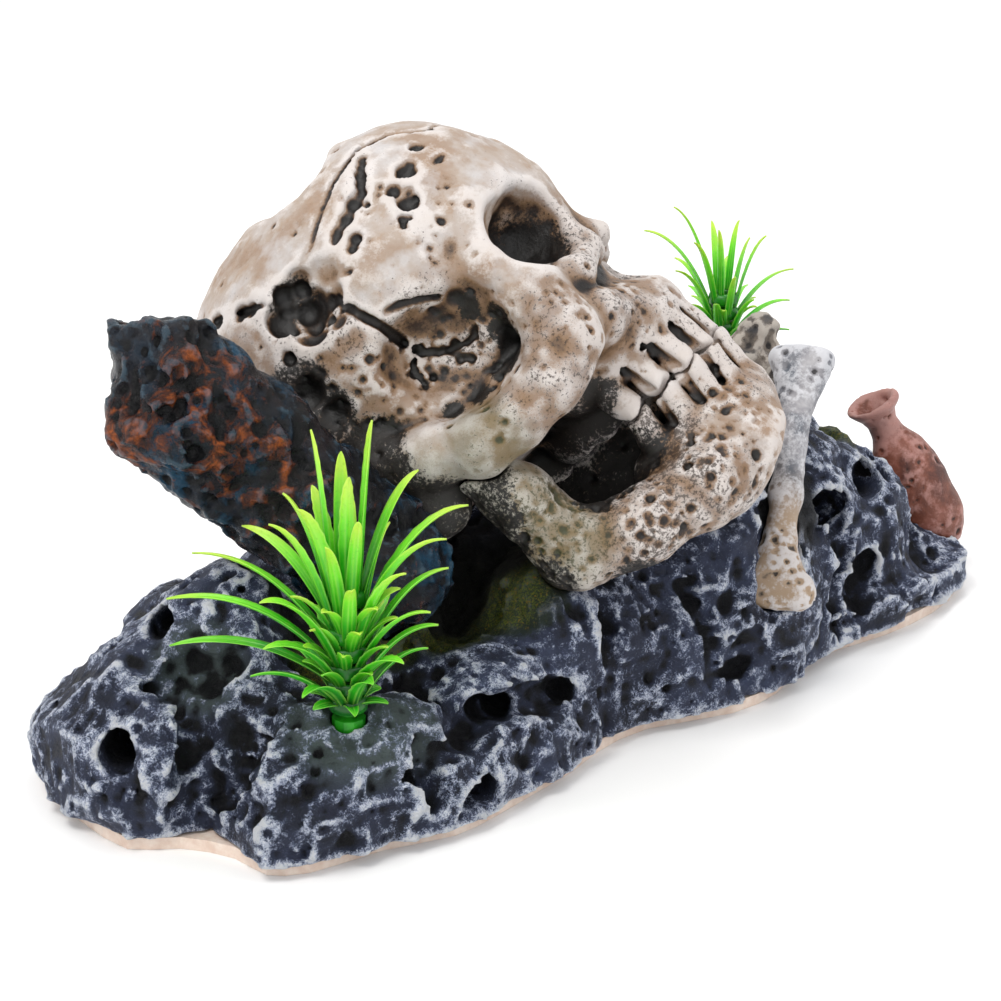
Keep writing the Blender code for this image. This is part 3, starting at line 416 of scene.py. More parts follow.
class Clay:
    """A grid of signed distances, negative inside. Shapes are added to it and cut from it."""

    def __init__(self, low, high, step):
        self.low, self.high, self.step = np.array(low, float), np.array(high, float), step
        counts = np.ceil((self.high - self.low) / step).astype(int) + 1
        self.lines = [self.low[i] + step * np.arange(counts[i]) for i in range(3)]
        self.value = np.full(counts, 50.0, np.float32)

    def block(self, shape, margin):
        centre, reach, distance = shape
        spans = []
        for line, middle in zip(self.lines, centre):
            first, last = np.searchsorted(line, (middle - reach - margin, middle + reach + margin))
            spans.append(slice(first, last))
        x, y, z = (line[span] for line, span in zip(self.lines, spans))
        if 0 in (len(x), len(y), len(z)):
            return None, None
        return tuple(spans), distance(x[:, None, None], y[None, :, None], z[None, None, :])

    def add(self, shape, blend=2.0):
        spans, distance = self.block(shape, 2 * blend + 3)
        if spans:
            self.value[spans] = smooth_min(self.value[spans], distance, blend)

    def cut(self, shape, blend=1.0):
        spans, distance = self.block(shape, 2 * blend + 3)
        if spans:
            self.value[spans] = -smooth_min(-self.value[spans], distance, blend)

    def dig(self, centre, radius, blend=0.3):
        """A quick round pit or scoop."""
        reach = radius + 2 * blend + 1
        first = np.maximum(np.floor((centre - reach - self.low) / self.step).astype(int), 0)
        last = np.ceil((centre + reach - self.low) / self.step).astype(int) + 1
        spans = tuple(slice(a, max(b, a)) for a, b in zip(first, last))
        x, y, z = (line[span] - c for line, span, c in zip(self.lines, spans, centre))
        if 0 in (len(x), len(y), len(z)):
            return
        square = x[:, None, None] ** 2 + y[None, :, None] ** 2 + z[None, None, :] ** 2
        distance = (np.sqrt(square) - radius).astype(np.float32)
        self.value[spans] = -smooth_min(-self.value[spans], distance, blend)

    def roughen(self, cell, height, seed, ridged=False):
        """Raises and lowers the surface by a random field of this cell size, into crests if ridged."""
        counts = [int(math.ceil((b - a) / cell - 1e-6)) + 2 for a, b in zip(self.low, self.high)]
        field = np.random.default_rng(seed).uniform(-1, 1, counts)
        for axis, line in enumerate(self.lines):
            place = (line - line[0]) / cell
            below = np.minimum(place.astype(int), counts[axis] - 2)
            share = place - below
            share = share * share * (3 - 2 * share)
            weights = np.zeros((len(line), counts[axis]), np.float32)
            rows = np.arange(len(line))
            weights[rows, below] = 1 - share
            weights[rows, below + 1] = share
            field = np.moveaxis(np.tensordot(weights, field, (1, axis)), 0, axis)
        if ridged:
            field = 2 * np.abs(field) - 0.6
        self.value += (height * field).astype(np.float32)

    def spots(self, rng, count):
        """Random points of the surface, each with the way out of it."""
        near = np.argwhere(np.abs(self.value[1:-1, 1:-1, 1:-1]) < 0.6 * self.step) + 1
        near = near[rng.integers(0, len(near), count)]
        i, j, k = near.T
        v = self.value
        way = np.stack([v[i + 1, j, k] - v[i - 1, j, k], v[i, j + 1, k] - v[i, j - 1, k],
                        v[i, j, k + 1] - v[i, j, k - 1]], 1)
        way /= np.linalg.norm(way, axis=1, keepdims=True) + 1e-6
        return self.low + near * self.step, way

    def surface(self):
        """(points, faces) of the surface, its faces turned outwards, without loose bits."""
        grid = openvdb.FloatGrid()
        grid.copyFromArray(self.value)
        points, quads = grid.convertToQuads(0.0)
        return without_crumbs(self.low + self.step * points, quads)

    def relief(self, points, reach):
        """How proud (positive) or sunken each point lies against the clay within this reach."""
        cells = max(1, int(round(reach / self.step)))
        mean = np.clip(self.value, -2 * reach, 2 * reach)
        for axis in range(3):
            pad = [(0, 0)] * 3
            pad[axis] = (cells + 1, cells)
            total = np.cumsum(np.pad(mean, pad, mode="edge"), axis, dtype=np.float32)
            count = 2 * cells + 1
            ends = [slice(None)] * 3
            starts = [slice(None)] * 3
            ends[axis], starts[axis] = slice(count, None), slice(None, -count)
            mean = (total[tuple(ends)] - total[tuple(starts)]) / count
        return sampled(mean, (points - self.low) / self.step) / reach


def sampled(grid, place):
    """The grid's values at fractional places, by linear interpolation."""
    top = np.array(grid.shape) - 2
    base = np.clip(np.floor(place).astype(int), 0, top)
    share = np.clip(place - base, 0, 1)
    total = np.zeros(len(place))
    for corner in range(8):
        step = np.array([corner & 1, corner >> 1 & 1, corner >> 2 & 1])
        weight = np.prod(np.where(step, share, 1 - share), axis=1)
        i, j, k = (base + step).T
        total += weight * grid[i, j, k]
    return total


def without_crumbs(points, quads):
    """Keeps the largest connected surface."""
    labels = np.arange(len(points))
    ends = np.concatenate([quads[:, [0, 1]], quads[:, [1, 2]], quads[:, [2, 3]]])
    while True:
        before = labels.copy()
        least = np.minimum(labels[ends[:, 0]], labels[ends[:, 1]])
        np.minimum.at(labels, ends[:, 0], least)
        np.minimum.at(labels, ends[:, 1], least)
        labels = labels[labels]
        labels = labels[labels]
        if np.array_equal(before, labels):
            break
    kept = labels == np.bincount(labels).argmax()
    renumbered = np.cumsum(kept) - 1
    return points[kept], renumbered[quads[kept[quads[:, 0]]]]


def ball(centre, radii, turn=None):
    """An ellipsoid; turn is a 3x3 matrix whose columns are its axes."""
    radii = np.array(radii, float)
    turn = np.identity(3) if turn is None else np.array(turn)

    def distance(x, y, z):
        place = (x - centre[0], y - centre[1], z - centre[2])
        unit = [sum(turn[j, i] * place[j] for j in range(3)) / radii[i] for i in range(3)]
        near = np.sqrt(sum(u * u for u in unit))
        slope = np.sqrt(sum((u / r) ** 2 for u, r in zip(unit, radii))) + 1e-6
        return (near * (near - 1) / slope).astype(np.float32)

    return centre, float(radii.max()), distance


def rod(start, end, radius, end_radius=None):
    """A rod with round ends, tapering from one radius to the other."""
    start, end = np.array(start, float), np.array(end, float)
    end_radius = radius if end_radius is None else end_radius
    along = end - start

    def distance(x, y, z):
        place = (x - start[0], y - start[1], z - start[2])
        share = np.clip(sum(a * p for a, p in zip(along, place)) / (along @ along), 0, 1)
        off = np.sqrt(sum((p - share * a) ** 2 for a, p in zip(along, place)))
        return (off - radius - share * (end_radius - radius)).astype(np.float32)

    return (start + end) / 2, np.linalg.norm(along) / 2 + max(radius, end_radius), distance


def chain(points, radii):
    """Rods from each point to the next, with a radius at every point."""
    return [rod(points[i], points[i + 1], radii[i], radii[i + 1]) for i in range(len(points) - 1)]


def block_of(low, high):
    """A box with square edges."""
    low, high = np.array(low, float), np.array(high, float)
    centre, half = (low + high) / 2, (high - low) / 2

    def distance(x, y, z):
        off = [np.abs(v - c) - h for v, c, h in zip((x, y, z), centre, half)]
        return np.maximum(np.maximum(off[0], off[1]), off[2]).astype(np.float32)

    return centre, float(np.linalg.norm(half)), distance


def past(point, way, margin=0.0):
    """The half space beyond this point."""
    offset = sum(a * b for a, b in zip(point, way)) + margin
    return (0, 0, 0), 500.0, lambda x, y, z: (
        offset - x * way[0] - y * way[1] - z * way[2]).astype(np.float32)


def both_sides(point):
    """The point and its twin on the other side of the face."""
    return [point, (point[0], -point[1], point[2])]


def mirrored(points):
    """The line of points and its twin on the other side of the face."""
    return [points, [(x, -y, z) for x, y, z in points]]


def near(points, spots):
    """For each point, 1 at any of the (x, y, z, reach) spots, fading to 0 at twice its reach."""
    share = np.zeros(len(points))
    for x, y, z, reach in spots:
        away = np.linalg.norm(points - np.array((x, y, z)), axis=1) / reach
        share = np.maximum(share, np.clip(2 - away, 0, 1))
    return share * share * (3 - 2 * share)


def mesh_of(name, points, faces, values, material, body="ornament", replaced=()):
    """A smooth object of these quads in millimetres, with a float attribute for each value."""
    mesh = bpy.data.meshes.new(name)
    points, faces = np.asarray(points, np.float32), np.asarray(faces, np.int32)
    mesh.from_pydata(points * MM, [], faces)
    mesh.shade_smooth()
    for key, value in values.items():
        mesh.attributes.new(key, "FLOAT", "POINT").data.foreach_set("value", value.astype(np.float32))
    mesh.materials.append(material)
    made = bpy.data.objects.new(name, mesh)
    bpy.context.scene.collection.objects.link(made)
    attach(made, body)
    if replaced:
        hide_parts(*replaced)
    return made


def cast(name, clay, material, slot, stain_and_shade_spots=None, turn=None, at=(0, 0, 0), reaches=(0.8, 2.0, 6.0)):
    """The clay's surface as a piece that stands for its CAD node; the named spots mark stain, moss and
    painted shade.
    """
    points, faces = clay.surface()
    values = {key: clay.relief(points, reach) for key, reach in zip(("fine", "mid", "broad"), reaches)}
    for key, spots in (stain_and_shade_spots or {}).items():
        values[key] = near(points, spots)
    if turn is not None:
        points = points @ np.array(turn).T
    points = points + np.array(at)
    print("cast", name, len(faces), "quads")
    return mesh_of(name, points, faces, values, material, replaced=(CAD_OF[name],))


CAD_OF = {"skull_bone": "skull", "jaw_bone": "jaw", "rock_casting": "rock_base", "log_casting": "broken_log",
          "shin_bone": "leg_bone", "brown_boulder": "rear_stone", "jar_casting": "clay_jar"}


# ---------------------------------------------------------------- the skull and its jaw
# In the skull's own frame: x to the face, y to its left ear, z to the crown.

BITE_HEIGHT, JOINT_GAP, TOOTH_PITCH = -19.0, 0.3, 4.9
SKULL_FACE = Vector((0.626, -0.373, 0.685)).normalized()
SKULL_CROWN = Vector((-0.376, 0.626, 0.683))
SKULL_UP = (SKULL_CROWN - SKULL_FACE * SKULL_CROWN.dot(SKULL_FACE)).normalized()
SKULL_TURN = Matrix((SKULL_FACE, SKULL_UP.cross(SKULL_FACE), SKULL_UP)).transposed()
SKULL_AT = Vector((-14.6, 4.5, 50.7))


def tooth_places():
    """Centres of the teeth along the dental arch, from the right side to the left."""
    angles = [(index + 0.5) * TOOTH_PITCH / 16.0 for index in range(-5, 5)]
    return [(17 + 22 * math.cos(angle), 13.5 * math.sin(angle)) for angle in angles]


def tooth_gaps():
    """Places between neighbouring teeth."""
    places = tooth_places()
    return [((a[0] + b[0]) / 2, (a[1] + b[1]) / 2) for a, b in zip(places, places[1:])]


def add_brain_case(clay):
    """The brain case, the forehead, the back of the head and the underside."""
    clay.add(ball((-2, 0, 20), (39, 31, 30)))
    clay.add(ball((11, 0, 25.5), (22, 24, 23.5)), 8)
    clay.add(ball((-22, 0, 10), (19, 24, 20)), 8)
    clay.add(ball((2, 0, -2), (26, 15, 9)), 6)
    for x, y, z in both_sides((-12, -24, -5)):
        clay.add(ball((x, y, z), (7, 5, 8)), 4)


def add_face(clay):
    """Brows, cheeks, the rims of the sockets, the arches, the nose and the webs that close the throat."""
    clay.add(ball((24, 0, -4), (12, 14, 13)), 6)
    clay.add(ball((25, 0, 10), (8, 13, 12)), 4)
    clay.add(ball((27.5, 0, 19), (5, 9, 5)), 4)
    for brow in mirrored([(30, -5, 20), (29.3, -13, 25.2), (24.5, -20, 24.5), (21.2, -24.5, 16)]):
        for part in chain(brow, [2.8, 3, 3.4, 4]):
            clay.add(part, 2.5)
    for cheek in mirrored([(21.2, -24.5, 16), (23.2, -25, 7), (22, -26, -1)]):
        for part in chain(cheek, [4, 5.2, 5.8]):
            clay.add(part, 3)
    for root in mirrored([(23, -24, 1), (27.5, -17, -3), (31, -10, -5)]):
        for part in chain(root, [5, 4.8, 4.5]):
            clay.add(part, 3)
    for rim in mirrored([(25, -23, 6), (30.5, -16, 4.3), (34, -7, 6.5), (33, -5, 14)]):
        for part in chain(rim, [3, 2.8, 2.6, 2.4]):
            clay.add(part, 2)
    for arch in mirrored([(22, -26.5, -2), (16, -29, -5.5), (8, -30.5, -6), (1, -30.3, -5),
                          (-7, -28, -1), (-14, -25, 3)]):
        for part in chain(arch, [5.6, 5, 4.8, 4.6, 4.4, 5]):
            clay.add(part, 3)
    for x, y, z in both_sides((10, -22, -3)):
        clay.add(ball((x, y, z), (15, 7, 5)), 3)
    clay.add(rod((30.5, 0, 15), (36.8, 0, 7.5), 3.2, 2.6), 2)
    # The webs that close the throat, painted near-black as the shade deep in the mouth.
    clay.add(ball((12, 8, -17), (21, 4.5, 16)), 3)
    clay.add(ball((20, 1, -14), (15, 10, 9)), 3)


def add_upper_teeth(clay):
    """The upper gum and its row of teeth."""
    gums = [(x - 4.5, y * 0.86, -8.5) for x, y in tooth_places()]
    for part in chain(gums, [5] * len(gums)):
        clay.add(part, 4)
    for x, y in tooth_places():
        clay.add(rod((x - 1.6, y * 0.97, -8), (x, y, BITE_HEIGHT - 1), 2.8, 2.75), 0.6)


def cut_openings(clay):
    """Eye sockets, nose, temples, and the worn crown."""
    for side in (-1, 1):
        turn = Matrix.Rotation(side * math.radians(25), 3, "Z")
        clay.cut(ball((32, side * 14.5, 15.2), (12, 7.2, 7.4), turn), 1.5)
        clay.cut(ball((28.7, side * 21, 15.4), (5.4, 9, 7.4)), 1.2)
        clay.cut(ball((7, side * 33, 9.5), (12, 10.5, 10.5)), 2)
        hem = [(13.5, side * 27, 14), (14.5, side * 27, 6.5), (9, side * 28, 2), (1, side * 28.5, 2.8)]
        for part in chain(hem, [2.2, 2.4, 2.3, 1.8]):
            clay.cut(part, 1)
    clay.cut(rod((43, 0, 6), (38, 0, 0), 3.2, 4.4), 1)
    clay.cut(rod((39, 0, 1), (30, 0, 0), 4.2, 3.2), 1)
    clay.cut(ball((5, -2, 57.5), (10, 22, 12.5)), 3)
    clay.cut(ball((-2, -30, 34), (7, 5, 5.5)), 1)


# Marks on the bone. Each pit is (x, y, z, radius); each crack is a line of points with its radius.
PIT_CHAIN = [(17.6, -17.0, 43.0, 1.0), (16.9, -18.2, 42.0, 1.1), (15.9, -19.6, 41.0, 1.1),
             (15.0, -21.2, 39.6, 1.1), (14.0, -22.6, 38.4, 1.3), (12.2, -23.4, 38.0, 1.7),
             (11.0, -24.0, 37.5, 1.2), (9.6, -24.8, 36.9, 1.5), (8.2, -25.2, 36.6, 1.1),
             (6.8, -25.7, 36.0, 1.2), (5.9, -26.0, 35.4, 0.9), (8.6, -27.0, 33.2, 1.3),
             (7.3, -27.6, 32.4, 1.1), (13.6, -23.6, 35.9, 0.7)]
PIT_CLUSTER = [(21.9, -20.3, 36.1, 1.9), (22.9, -19.2, 36.6, 1.2), (20.9, -21.0, 36.2, 1.1),
               (18.3, -23.2, 34.9, 1.5), (19.0, -24.5, 31.9, 2.1), (20.1, -23.4, 33.1, 1.1),
               (16.4, -26.1, 30.1, 1.0), (15.7, -26.6, 29.2, 0.7), (17.3, -26.0, 29.6, 0.7),
               (16.2, -23.6, 36.4, 1.0), (17.1, -22.6, 37.0, 0.8), (15.2, -24.0, 35.8, 0.6),
               (25.4, -15.4, 38.2, 1.2), (26.3, -15.0, 37.8, 0.7), (24.6, -16.0, 38.4, 0.6),
               (26.9, -17.4, 33.9, 0.8), (26.2, -18.2, 34.0, 0.6), (27.6, -16.7, 34.0, 0.6)]
TEMPLE_BUBBLES = [(-5.0, -27.4, 31.0, 4.6), (-1.4, -29.4, 30.2, 3.6), (-8.8, -26.8, 31.8, 3.4),
                  (-3.0, -26.4, 35.0, 2.8), (-6.4, -29.4, 27.8, 3.2), (-2.4, -30.4, 26.6, 2.6),
                  (-6.6, -24.6, 34.6, 2.2), (-0.6, -27.8, 33.2, 2.2)]
TEMPLE_DEEPS = [(-5.6, -24.4, 30.4, 2.4), (-2.0, -26.4, 29.0, 1.9), (-8.0, -24.4, 32.4, 1.8),
                (-4.0, -23.6, 33.6, 1.7), (-6.0, -26.2, 27.6, 1.6), (-1.2, -26.6, 31.8, 1.4),
                (-9.6, -25.6, 29.8, 1.5), (-3.4, -27.0, 26.4, 1.2)]
SIDE_PITS = [(-12.0, -24.0, 36.8, 1.4), (-14.1, -22.6, 38.2, 1.6), (-13.0, -23.2, 37.8, 1.0),
             (-19.0, -17.7, 40.8, 1.7), (-18.2, -19.0, 39.8, 1.2), (-12.4, -29.2, 26.4, 1.3),
             (3.4, -28.6, 30.5, 0.8), (2.6, -28.6, 31.1, 0.6), (4.4, -28.8, 29.8, 0.7),
             (4.0, -28.2, 31.3, 0.5), (0.3, -28.0, 8.4, 1.7), (6.0, -24.6, 5.0, 1.2),
             (3.4, -26.4, 4.6, 1.1), (-2.0, -29.6, 8.0, 1.2), (-4.0, -30.4, 14.0, 0.9)]
CRACKS = [
    ([(-0.3, -29.6, 28.1), (0.7, -30.5, 24.4), (2.2, -30.6, 19.9), (2.3, -28.6, 15.7)], 0.9),
    ([(2.3, -28.6, 15.7), (3.2, -26.4, 12.6), (6.5, -24.2, 9.9), (8.6, -23.4, 6.0)], 0.7),
    ([(4.5, -30.0, 20.7), (6.6, -28.4, 20.2), (9.0, -26.2, 18.9), (11.5, -24.8, 17.1)], 0.85),
    ([(2.3, -27.6, 13.6), (0.6, -28.4, 11.6), (0.1, -28.6, 10.6), (0.3, -28.0, 8.4)], 0.6),
    ([(6.5, -24.2, 9.9), (10.4, -23.4, 8.4), (12.6, -23.0, 9.4)], 0.5),
    ([(-9.7, -25.6, 35.9), (-12.6, -23.8, 37.4), (-14.1, -22.6, 38.2), (-19.0, -17.7, 40.8)], 0.55),
]
SUTURE = [(30.6, -3.0, 40.0), (28.4, -9.8, 38.8), (25.8, -10.6, 41.6), (23.0, -10.5, 43.5),
          (18.3, -13.9, 44.4), (13.7, -17.4, 43.7), (7.9, -21.5, 41.4), (1.9, -25.0, 37.5),
          (-1.7, -25.4, 36.5)]


def pit(clay, x, y, z, radius, blend=0.25):
    """A round pit at a given place."""
    clay.dig(np.array((x, y, z), float), radius, blend)


def scattered_pits(clay, rng, count, small, large, where=None):
    """Tiny pits at random over the surface, gathered where the mask says."""
    points, ways = clay.spots(rng, count)
    sizes = small + (large - small) * rng.uniform(0, 1, count) ** 3
    chances = rng.uniform(0, 1, count)
    share = np.ones(count) if where is None else where(points)
    for point, way, size, chance, wanted in zip(points, ways, sizes, chances, share):
        if chance < wanted:
            clay.dig(point + 0.25 * size * way, size, 0.15)


def laid(clay, points):
    """The points moved sideways onto the right side's surface."""
    found = []
    for x, _, z in points:
        i, k = (int(round((v - low) / clay.step)) for v, low in ((x, clay.low[0]), (z, clay.low[2])))
        found.append((x, clay.lines[1][int(np.argmax(clay.value[i, :, k] < 0))], z))
    return found


def mark_skull(clay):
    """The worn surface: bubbles, pits, cracks, the suture and the gaps between the teeth."""
    rng = np.random.default_rng(21)
    clay.roughen(9, 0.5, 31)
    clay.roughen(4, 0.28, 32)
    clay.roughen(1.9, 0.16, 33)
    for x, y, z, radius in TEMPLE_BUBBLES + TEMPLE_DEEPS:
        pit(clay, x, y, z, radius, 0.35)
    for x, y, z, radius in PIT_CHAIN + PIT_CLUSTER + SIDE_PITS:
        pit(clay, x, y, z, radius)
    for line, radius in CRACKS:
        for part in chain(laid(clay, line), [radius] * len(line)):
            clay.cut(part, 0.2)
    for part in chain(SUTURE, [0.6] * len(SUTURE)):
        clay.cut(part, 0.3)
    for x, y, z in ((-14.5, -31.0, 20.0), (-13.5, -31.5, 15.0)):
        clay.cut(ball((x, y, z), (3.6, 4.0, 3.4)), 1)
    for x, y in tooth_gaps():
        clay.cut(rod((x - 0.4, y * 1.1, -8.5), (x + 1.4, y * 1.1, -18.5), 0.8, 1.0), 0.4)
    mirror_marks = [(x, -y, z, r) for x, y, z, r in TEMPLE_DEEPS[:4] + PIT_CLUSTER[3:8]]
    for x, y, z, radius in mirror_marks:
        pit(clay, x - 3, y + 3.0, z - 6, radius * 0.9)
    fine = [(23.0, -23.6, 27.7, 4.0), (17.0, -27.5, 23.0, 2.0), (27.0, -28.0, 0.0, 4.5),
            (8.0, -24.0, 6.0, 8.0), (31.0, -10.0, -4.0, 8.0), (36.0, 4.0, -6.0, 7.0),
            (-13.0, -27.0, 12.0, 8.0), (20.0, 14.0, 42.0, 5.0), (-20.0, 22.0, 30.0, 6.0),
            (-36.0, -4.0, 14.0, 7.0), (4.0, 29.0, 26.0, 5.0), (28.0, 24.0, 2.0, 5.0)]
    scattered_pits(clay, rng, 5200, 0.42, 0.85, lambda p: np.maximum(0.10, near(p, fine)))
    scattered_pits(clay, rng, 260, 0.7, 1.3, lambda p: np.maximum(0.16, near(p, fine)))


def bite_height(x, y):
    """The height at which the upper and lower teeth meet, which follows their cusps."""
    return BITE_HEIGHT + 0.45 * np.sin(1.1 * x + 0.6) + 0.45 * np.sin(1.28 * y)


def skull_clay():
    clay = Clay((-46, -37, -26), (50, 37, 57), SKULL_STEP)
    add_brain_case(clay)
    add_face(clay)
    add_upper_teeth(clay)
    cut_openings(clay)
    mark_skull(clay)
    clay.cut(((0, 0, 0), 500.0, lambda x, y, z: (
        z - JOINT_GAP - bite_height(x, y)).astype(np.float32)), 0.3)
    return clay


def jaw_clay():
    """The lower jaw with its teeth, in the skull's frame."""
    clay = Clay((-16, -34, -54), (48, 34, 4), SKULL_STEP)
    for line in mirrored([(-1, -22, -29), (10, -21, -33.5), (22, -16, -35.5), (31, -7, -37)]):
        for part in chain(line, [5.8, 5.8, 6.6, 7]):
            clay.add(part, 4)
    clay.add(rod((31, -7, -37), (31, 7, -37), 7), 4)
    gums = [(x - 3.5, y * 0.9, -30) for x, y in tooth_places()]
    for part in chain(gums, [5] * len(gums)):
        clay.add(part, 4)
    for branch in mirrored([(-1, -22.5, -27), (-1.5, -25.5, -15), (-4, -26.5, -6)]):
        for part in chain(branch, [6, 5, 4.4]):
            clay.add(part, 4)
    # A web inside the jaw, painted near-black as the shade deep in the mouth.
    clay.add(ball((12, 13.5, -28), (20, 4, 14)), 3)
    clay.add(ball((31, 0, -40), (6, 10, 4.5)), 4)
    clay.cut(past((35.7, -9.9, -39.2), (0.48, 0.05, -0.875)), 2)
    for x, y in tooth_places():
        clay.add(rod((x - 1, y * 0.97, -28), (x, y, BITE_HEIGHT + 1), 2.9, 2.7), 0.6)
    clay.cut(((36, 0, BITE_HEIGHT + 12), 26.0, lambda x, y, z: np.maximum(
        bite_height(x, y) - JOINT_GAP - z, 17 - x + 0 * y).astype(np.float32)), 0.3)
    clay.roughen(7, 0.45, 41)
    clay.roughen(3.4, 0.3, 42)
    clay.roughen(1.8, 0.18, 43)
    for x, y in tooth_gaps():
        clay.cut(rod((x + 0.4, y * 1.1, -25.5), (x + 1.4, y * 1.1, -18.5), 0.7, 0.9), 0.4)
    rng = np.random.default_rng(44)
    fine = [(34.0, -14.0, -31.0, 5.0), (28.0, -18.0, -36.0, 6.0), (10.0, -25.0, -33.0, 6.0),
            (-2.0, -27.0, -22.0, 6.0), (30.0, 14.0, -36.0, 6.0), (8.0, 25.0, -30.0, 6.0)]
    scattered_pits(clay, rng, 3200, 0.42, 0.9, lambda p: np.maximum(0.16, near(p, fine)))
    scattered_pits(clay, rng, 160, 0.8, 1.5, lambda p: np.maximum(0.2, near(p, fine)))
    return clay


# ---------------------------------------------------------------- the rock

FOOTPRINT = [
    (-98, 16), (-100, 3), (-99, -11), (-92, -17), (-88, -24), (-87, -32), (-80, -37), (-67, -38.5),
    (-55, -42), (-45, -41), (-35, -39), (-25, -37), (-16, -34), (-5, -33), (11, -38), (24, -37),
    (36, -32), (46, -31), (58, -32), (74, -30.5), (88, -25), (95, -14), (94, 5), (85, 18), (74, 30),
    (55, 38), (30, 42), (5, 44), (-20, 43), (-45, 38), (-62, 33), (-80, 30), (-92, 25),
]
BOULDERS = [                                   # centre, half sizes, turn about Z in degrees
    ((-80, 3, 8), (19, 21, 18), 10), ((-72, 0, 21), (12, 14, 15), -20),
    ((-88, -7, 8), (10, 13, 14), 25), ((-72, -12, 12), (9, 14, 13), 0),
    ((-66, -28, 8), (18, 12, 15), -10), ((-38, -24, 6), (21, 15, 15), 15),
    ((-20, -22, 4), (15, 11, 14), 0), ((-8, -19, 14), (18, 14, 17), 10),
    ((8, -22, 14), (22, 13, 20), -10), ((22, -24, 20), (15, 11, 15), 20),
    ((42, -12, 20), (20, 17, 20), 0), ((59.5, -11, 14), (15.5, 16, 21), -15),
    ((80, -8, 5), (14, 15, 9), 0), ((61, 19, 18), (21, 18, 23), 10), ((58, 8, 20), (15, 12, 23), 0),
    ((30, 20, 10), (30, 22, 22), 0), ((-20, 26, 8), (34, 17, 20), 0),
    ((-60, 20, 8), (22, 16, 18), 20), ((-35, 5, 10), (30, 22, 18), 0),
    ((-18, -20, 18), (13, 13, 15), 0), ((-15, 8, 20), (22, 20, 16), 0),
    ((-50, -6, 16), (16, 14, 13), 0), ((26, -29, 8), (12, 9, 11), 0),
]
ROCK_HOLES = [                                 # mouth, radius, way in
    ((-96, -8, 15.5), 3.4, (9, 8, -1)), ((59, -23, 29), 3.6, (3, 10, -1)),
    ((-50, -45, 6), 2.3, (2, 10, 1)), ((-53, -44.5, 6), 2.1, (2, 9, 1)),
    ((-84, 0, 30.5), 2.0, (6, 6, -3)), ((-81, 2, 30.5), 2.2, (6, 6, -3)),
    ((66, -21, 28), 1.8, (1, 7, -1)), ((-46, -35, 17), 2.6, (5, 6, -2)), ((-41, -34, 16), 2.4, (4, 6, -2)),
]
ROCK_CLEFTS = [                                # line of points, radius, blend
    ([(-80, -7.5, 25), (-85.5, -12.5, 19.5), (-89, -18.5, 12.5), (-89, -19, 3)], 3.6, 1.5),
    ([(-60, -38, 13), (-46, -35, 16.5), (-40, -35.5, 17.5), (-26, -32, 14)], 2.6, 1.5),
    ([(-18, -35, 2), (-15, -33.5, 12), (-16.5, -31, 24)], 1.8, 1.5),
    ([(4, -39, 2), (6, -35, 14), (3, -31, 24)], 1.6, 1.5),
    ([(45, -35, 3), (44, -30, 16), (46, -24, 28)], 2.4, 1.5),
]
ROCK_CRESTS = [                                # line of points, radius
    ([(-82, 0, 28.5), (-85.5, -6, 22.5), (-91, -12, 20.5), (-93.5, -13, 17), (-94.5, -13, 13),
      (-96, -12, 10.5), (-97.5, -10, 8), (-97, -10, 3)], 1.2),
]
SEAT_FACE, SEAT_WAY = Vector((-71.5, -32.5, 18.6)), Vector((-0.36, -0.41, 0.84)).normalized()
PLATE_TOP = 2.3
FRONT_PLANT, REAR_PLANT = Vector((-68, -30, 22)), Vector((64, 22, 41))
PORT = (24.0, 37.0, 10.0)


def footprint_distance(x, y):
    """Signed distance in plan from the rock's outline, negative inside."""
    corners = np.array(FOOTPRINT, float)
    nearest = np.full(np.broadcast(x, y).shape, 1e9)
    inside = np.zeros(nearest.shape, bool)
    for (ax, ay), (bx, by) in zip(corners, np.roll(corners, -1, axis=0)):
        ex, ey = bx - ax, by - ay
        share = np.clip(((x - ax) * ex + (y - ay) * ey) / (ex * ex + ey * ey), 0, 1)
        nearest = np.minimum(nearest, (x - ax - share * ex) ** 2 + (y - ay - share * ey) ** 2)
        crosses = ((ay <= y) & (by > y)) | ((by <= y) & (ay > y))
        inside ^= crosses & (x < ax + (y - ay) / (ey if ey else 1e-9) * ex)
    return np.where(inside, -1, 1) * np.sqrt(nearest)


def crag(clay, rng, count, radius, depth, flat):
    """Shallow scoops at random whose edges meet in ridges, flattened and tilted like strata."""
    points, ways = clay.spots(rng, count)
    for point, way in zip(points, ways):
        size = radius * rng.uniform(0.7, 1.4)
        strata = Vector((rng.normal(0.5, 0.35), rng.normal(-0.2, 0.35), rng.normal(0.8, 0.25)))
        across = Vector(way)
        along = (strata - across * strata.dot(across)).normalized()
        turn = Matrix((along, across.cross(along), across)).transposed()
        sink = depth * rng.uniform(0.5, 1.3)
        radii = (size * 1.5, size * flat, size)
        clay.cut(ball(point + (size - sink) * way, radii, turn), 0.35)


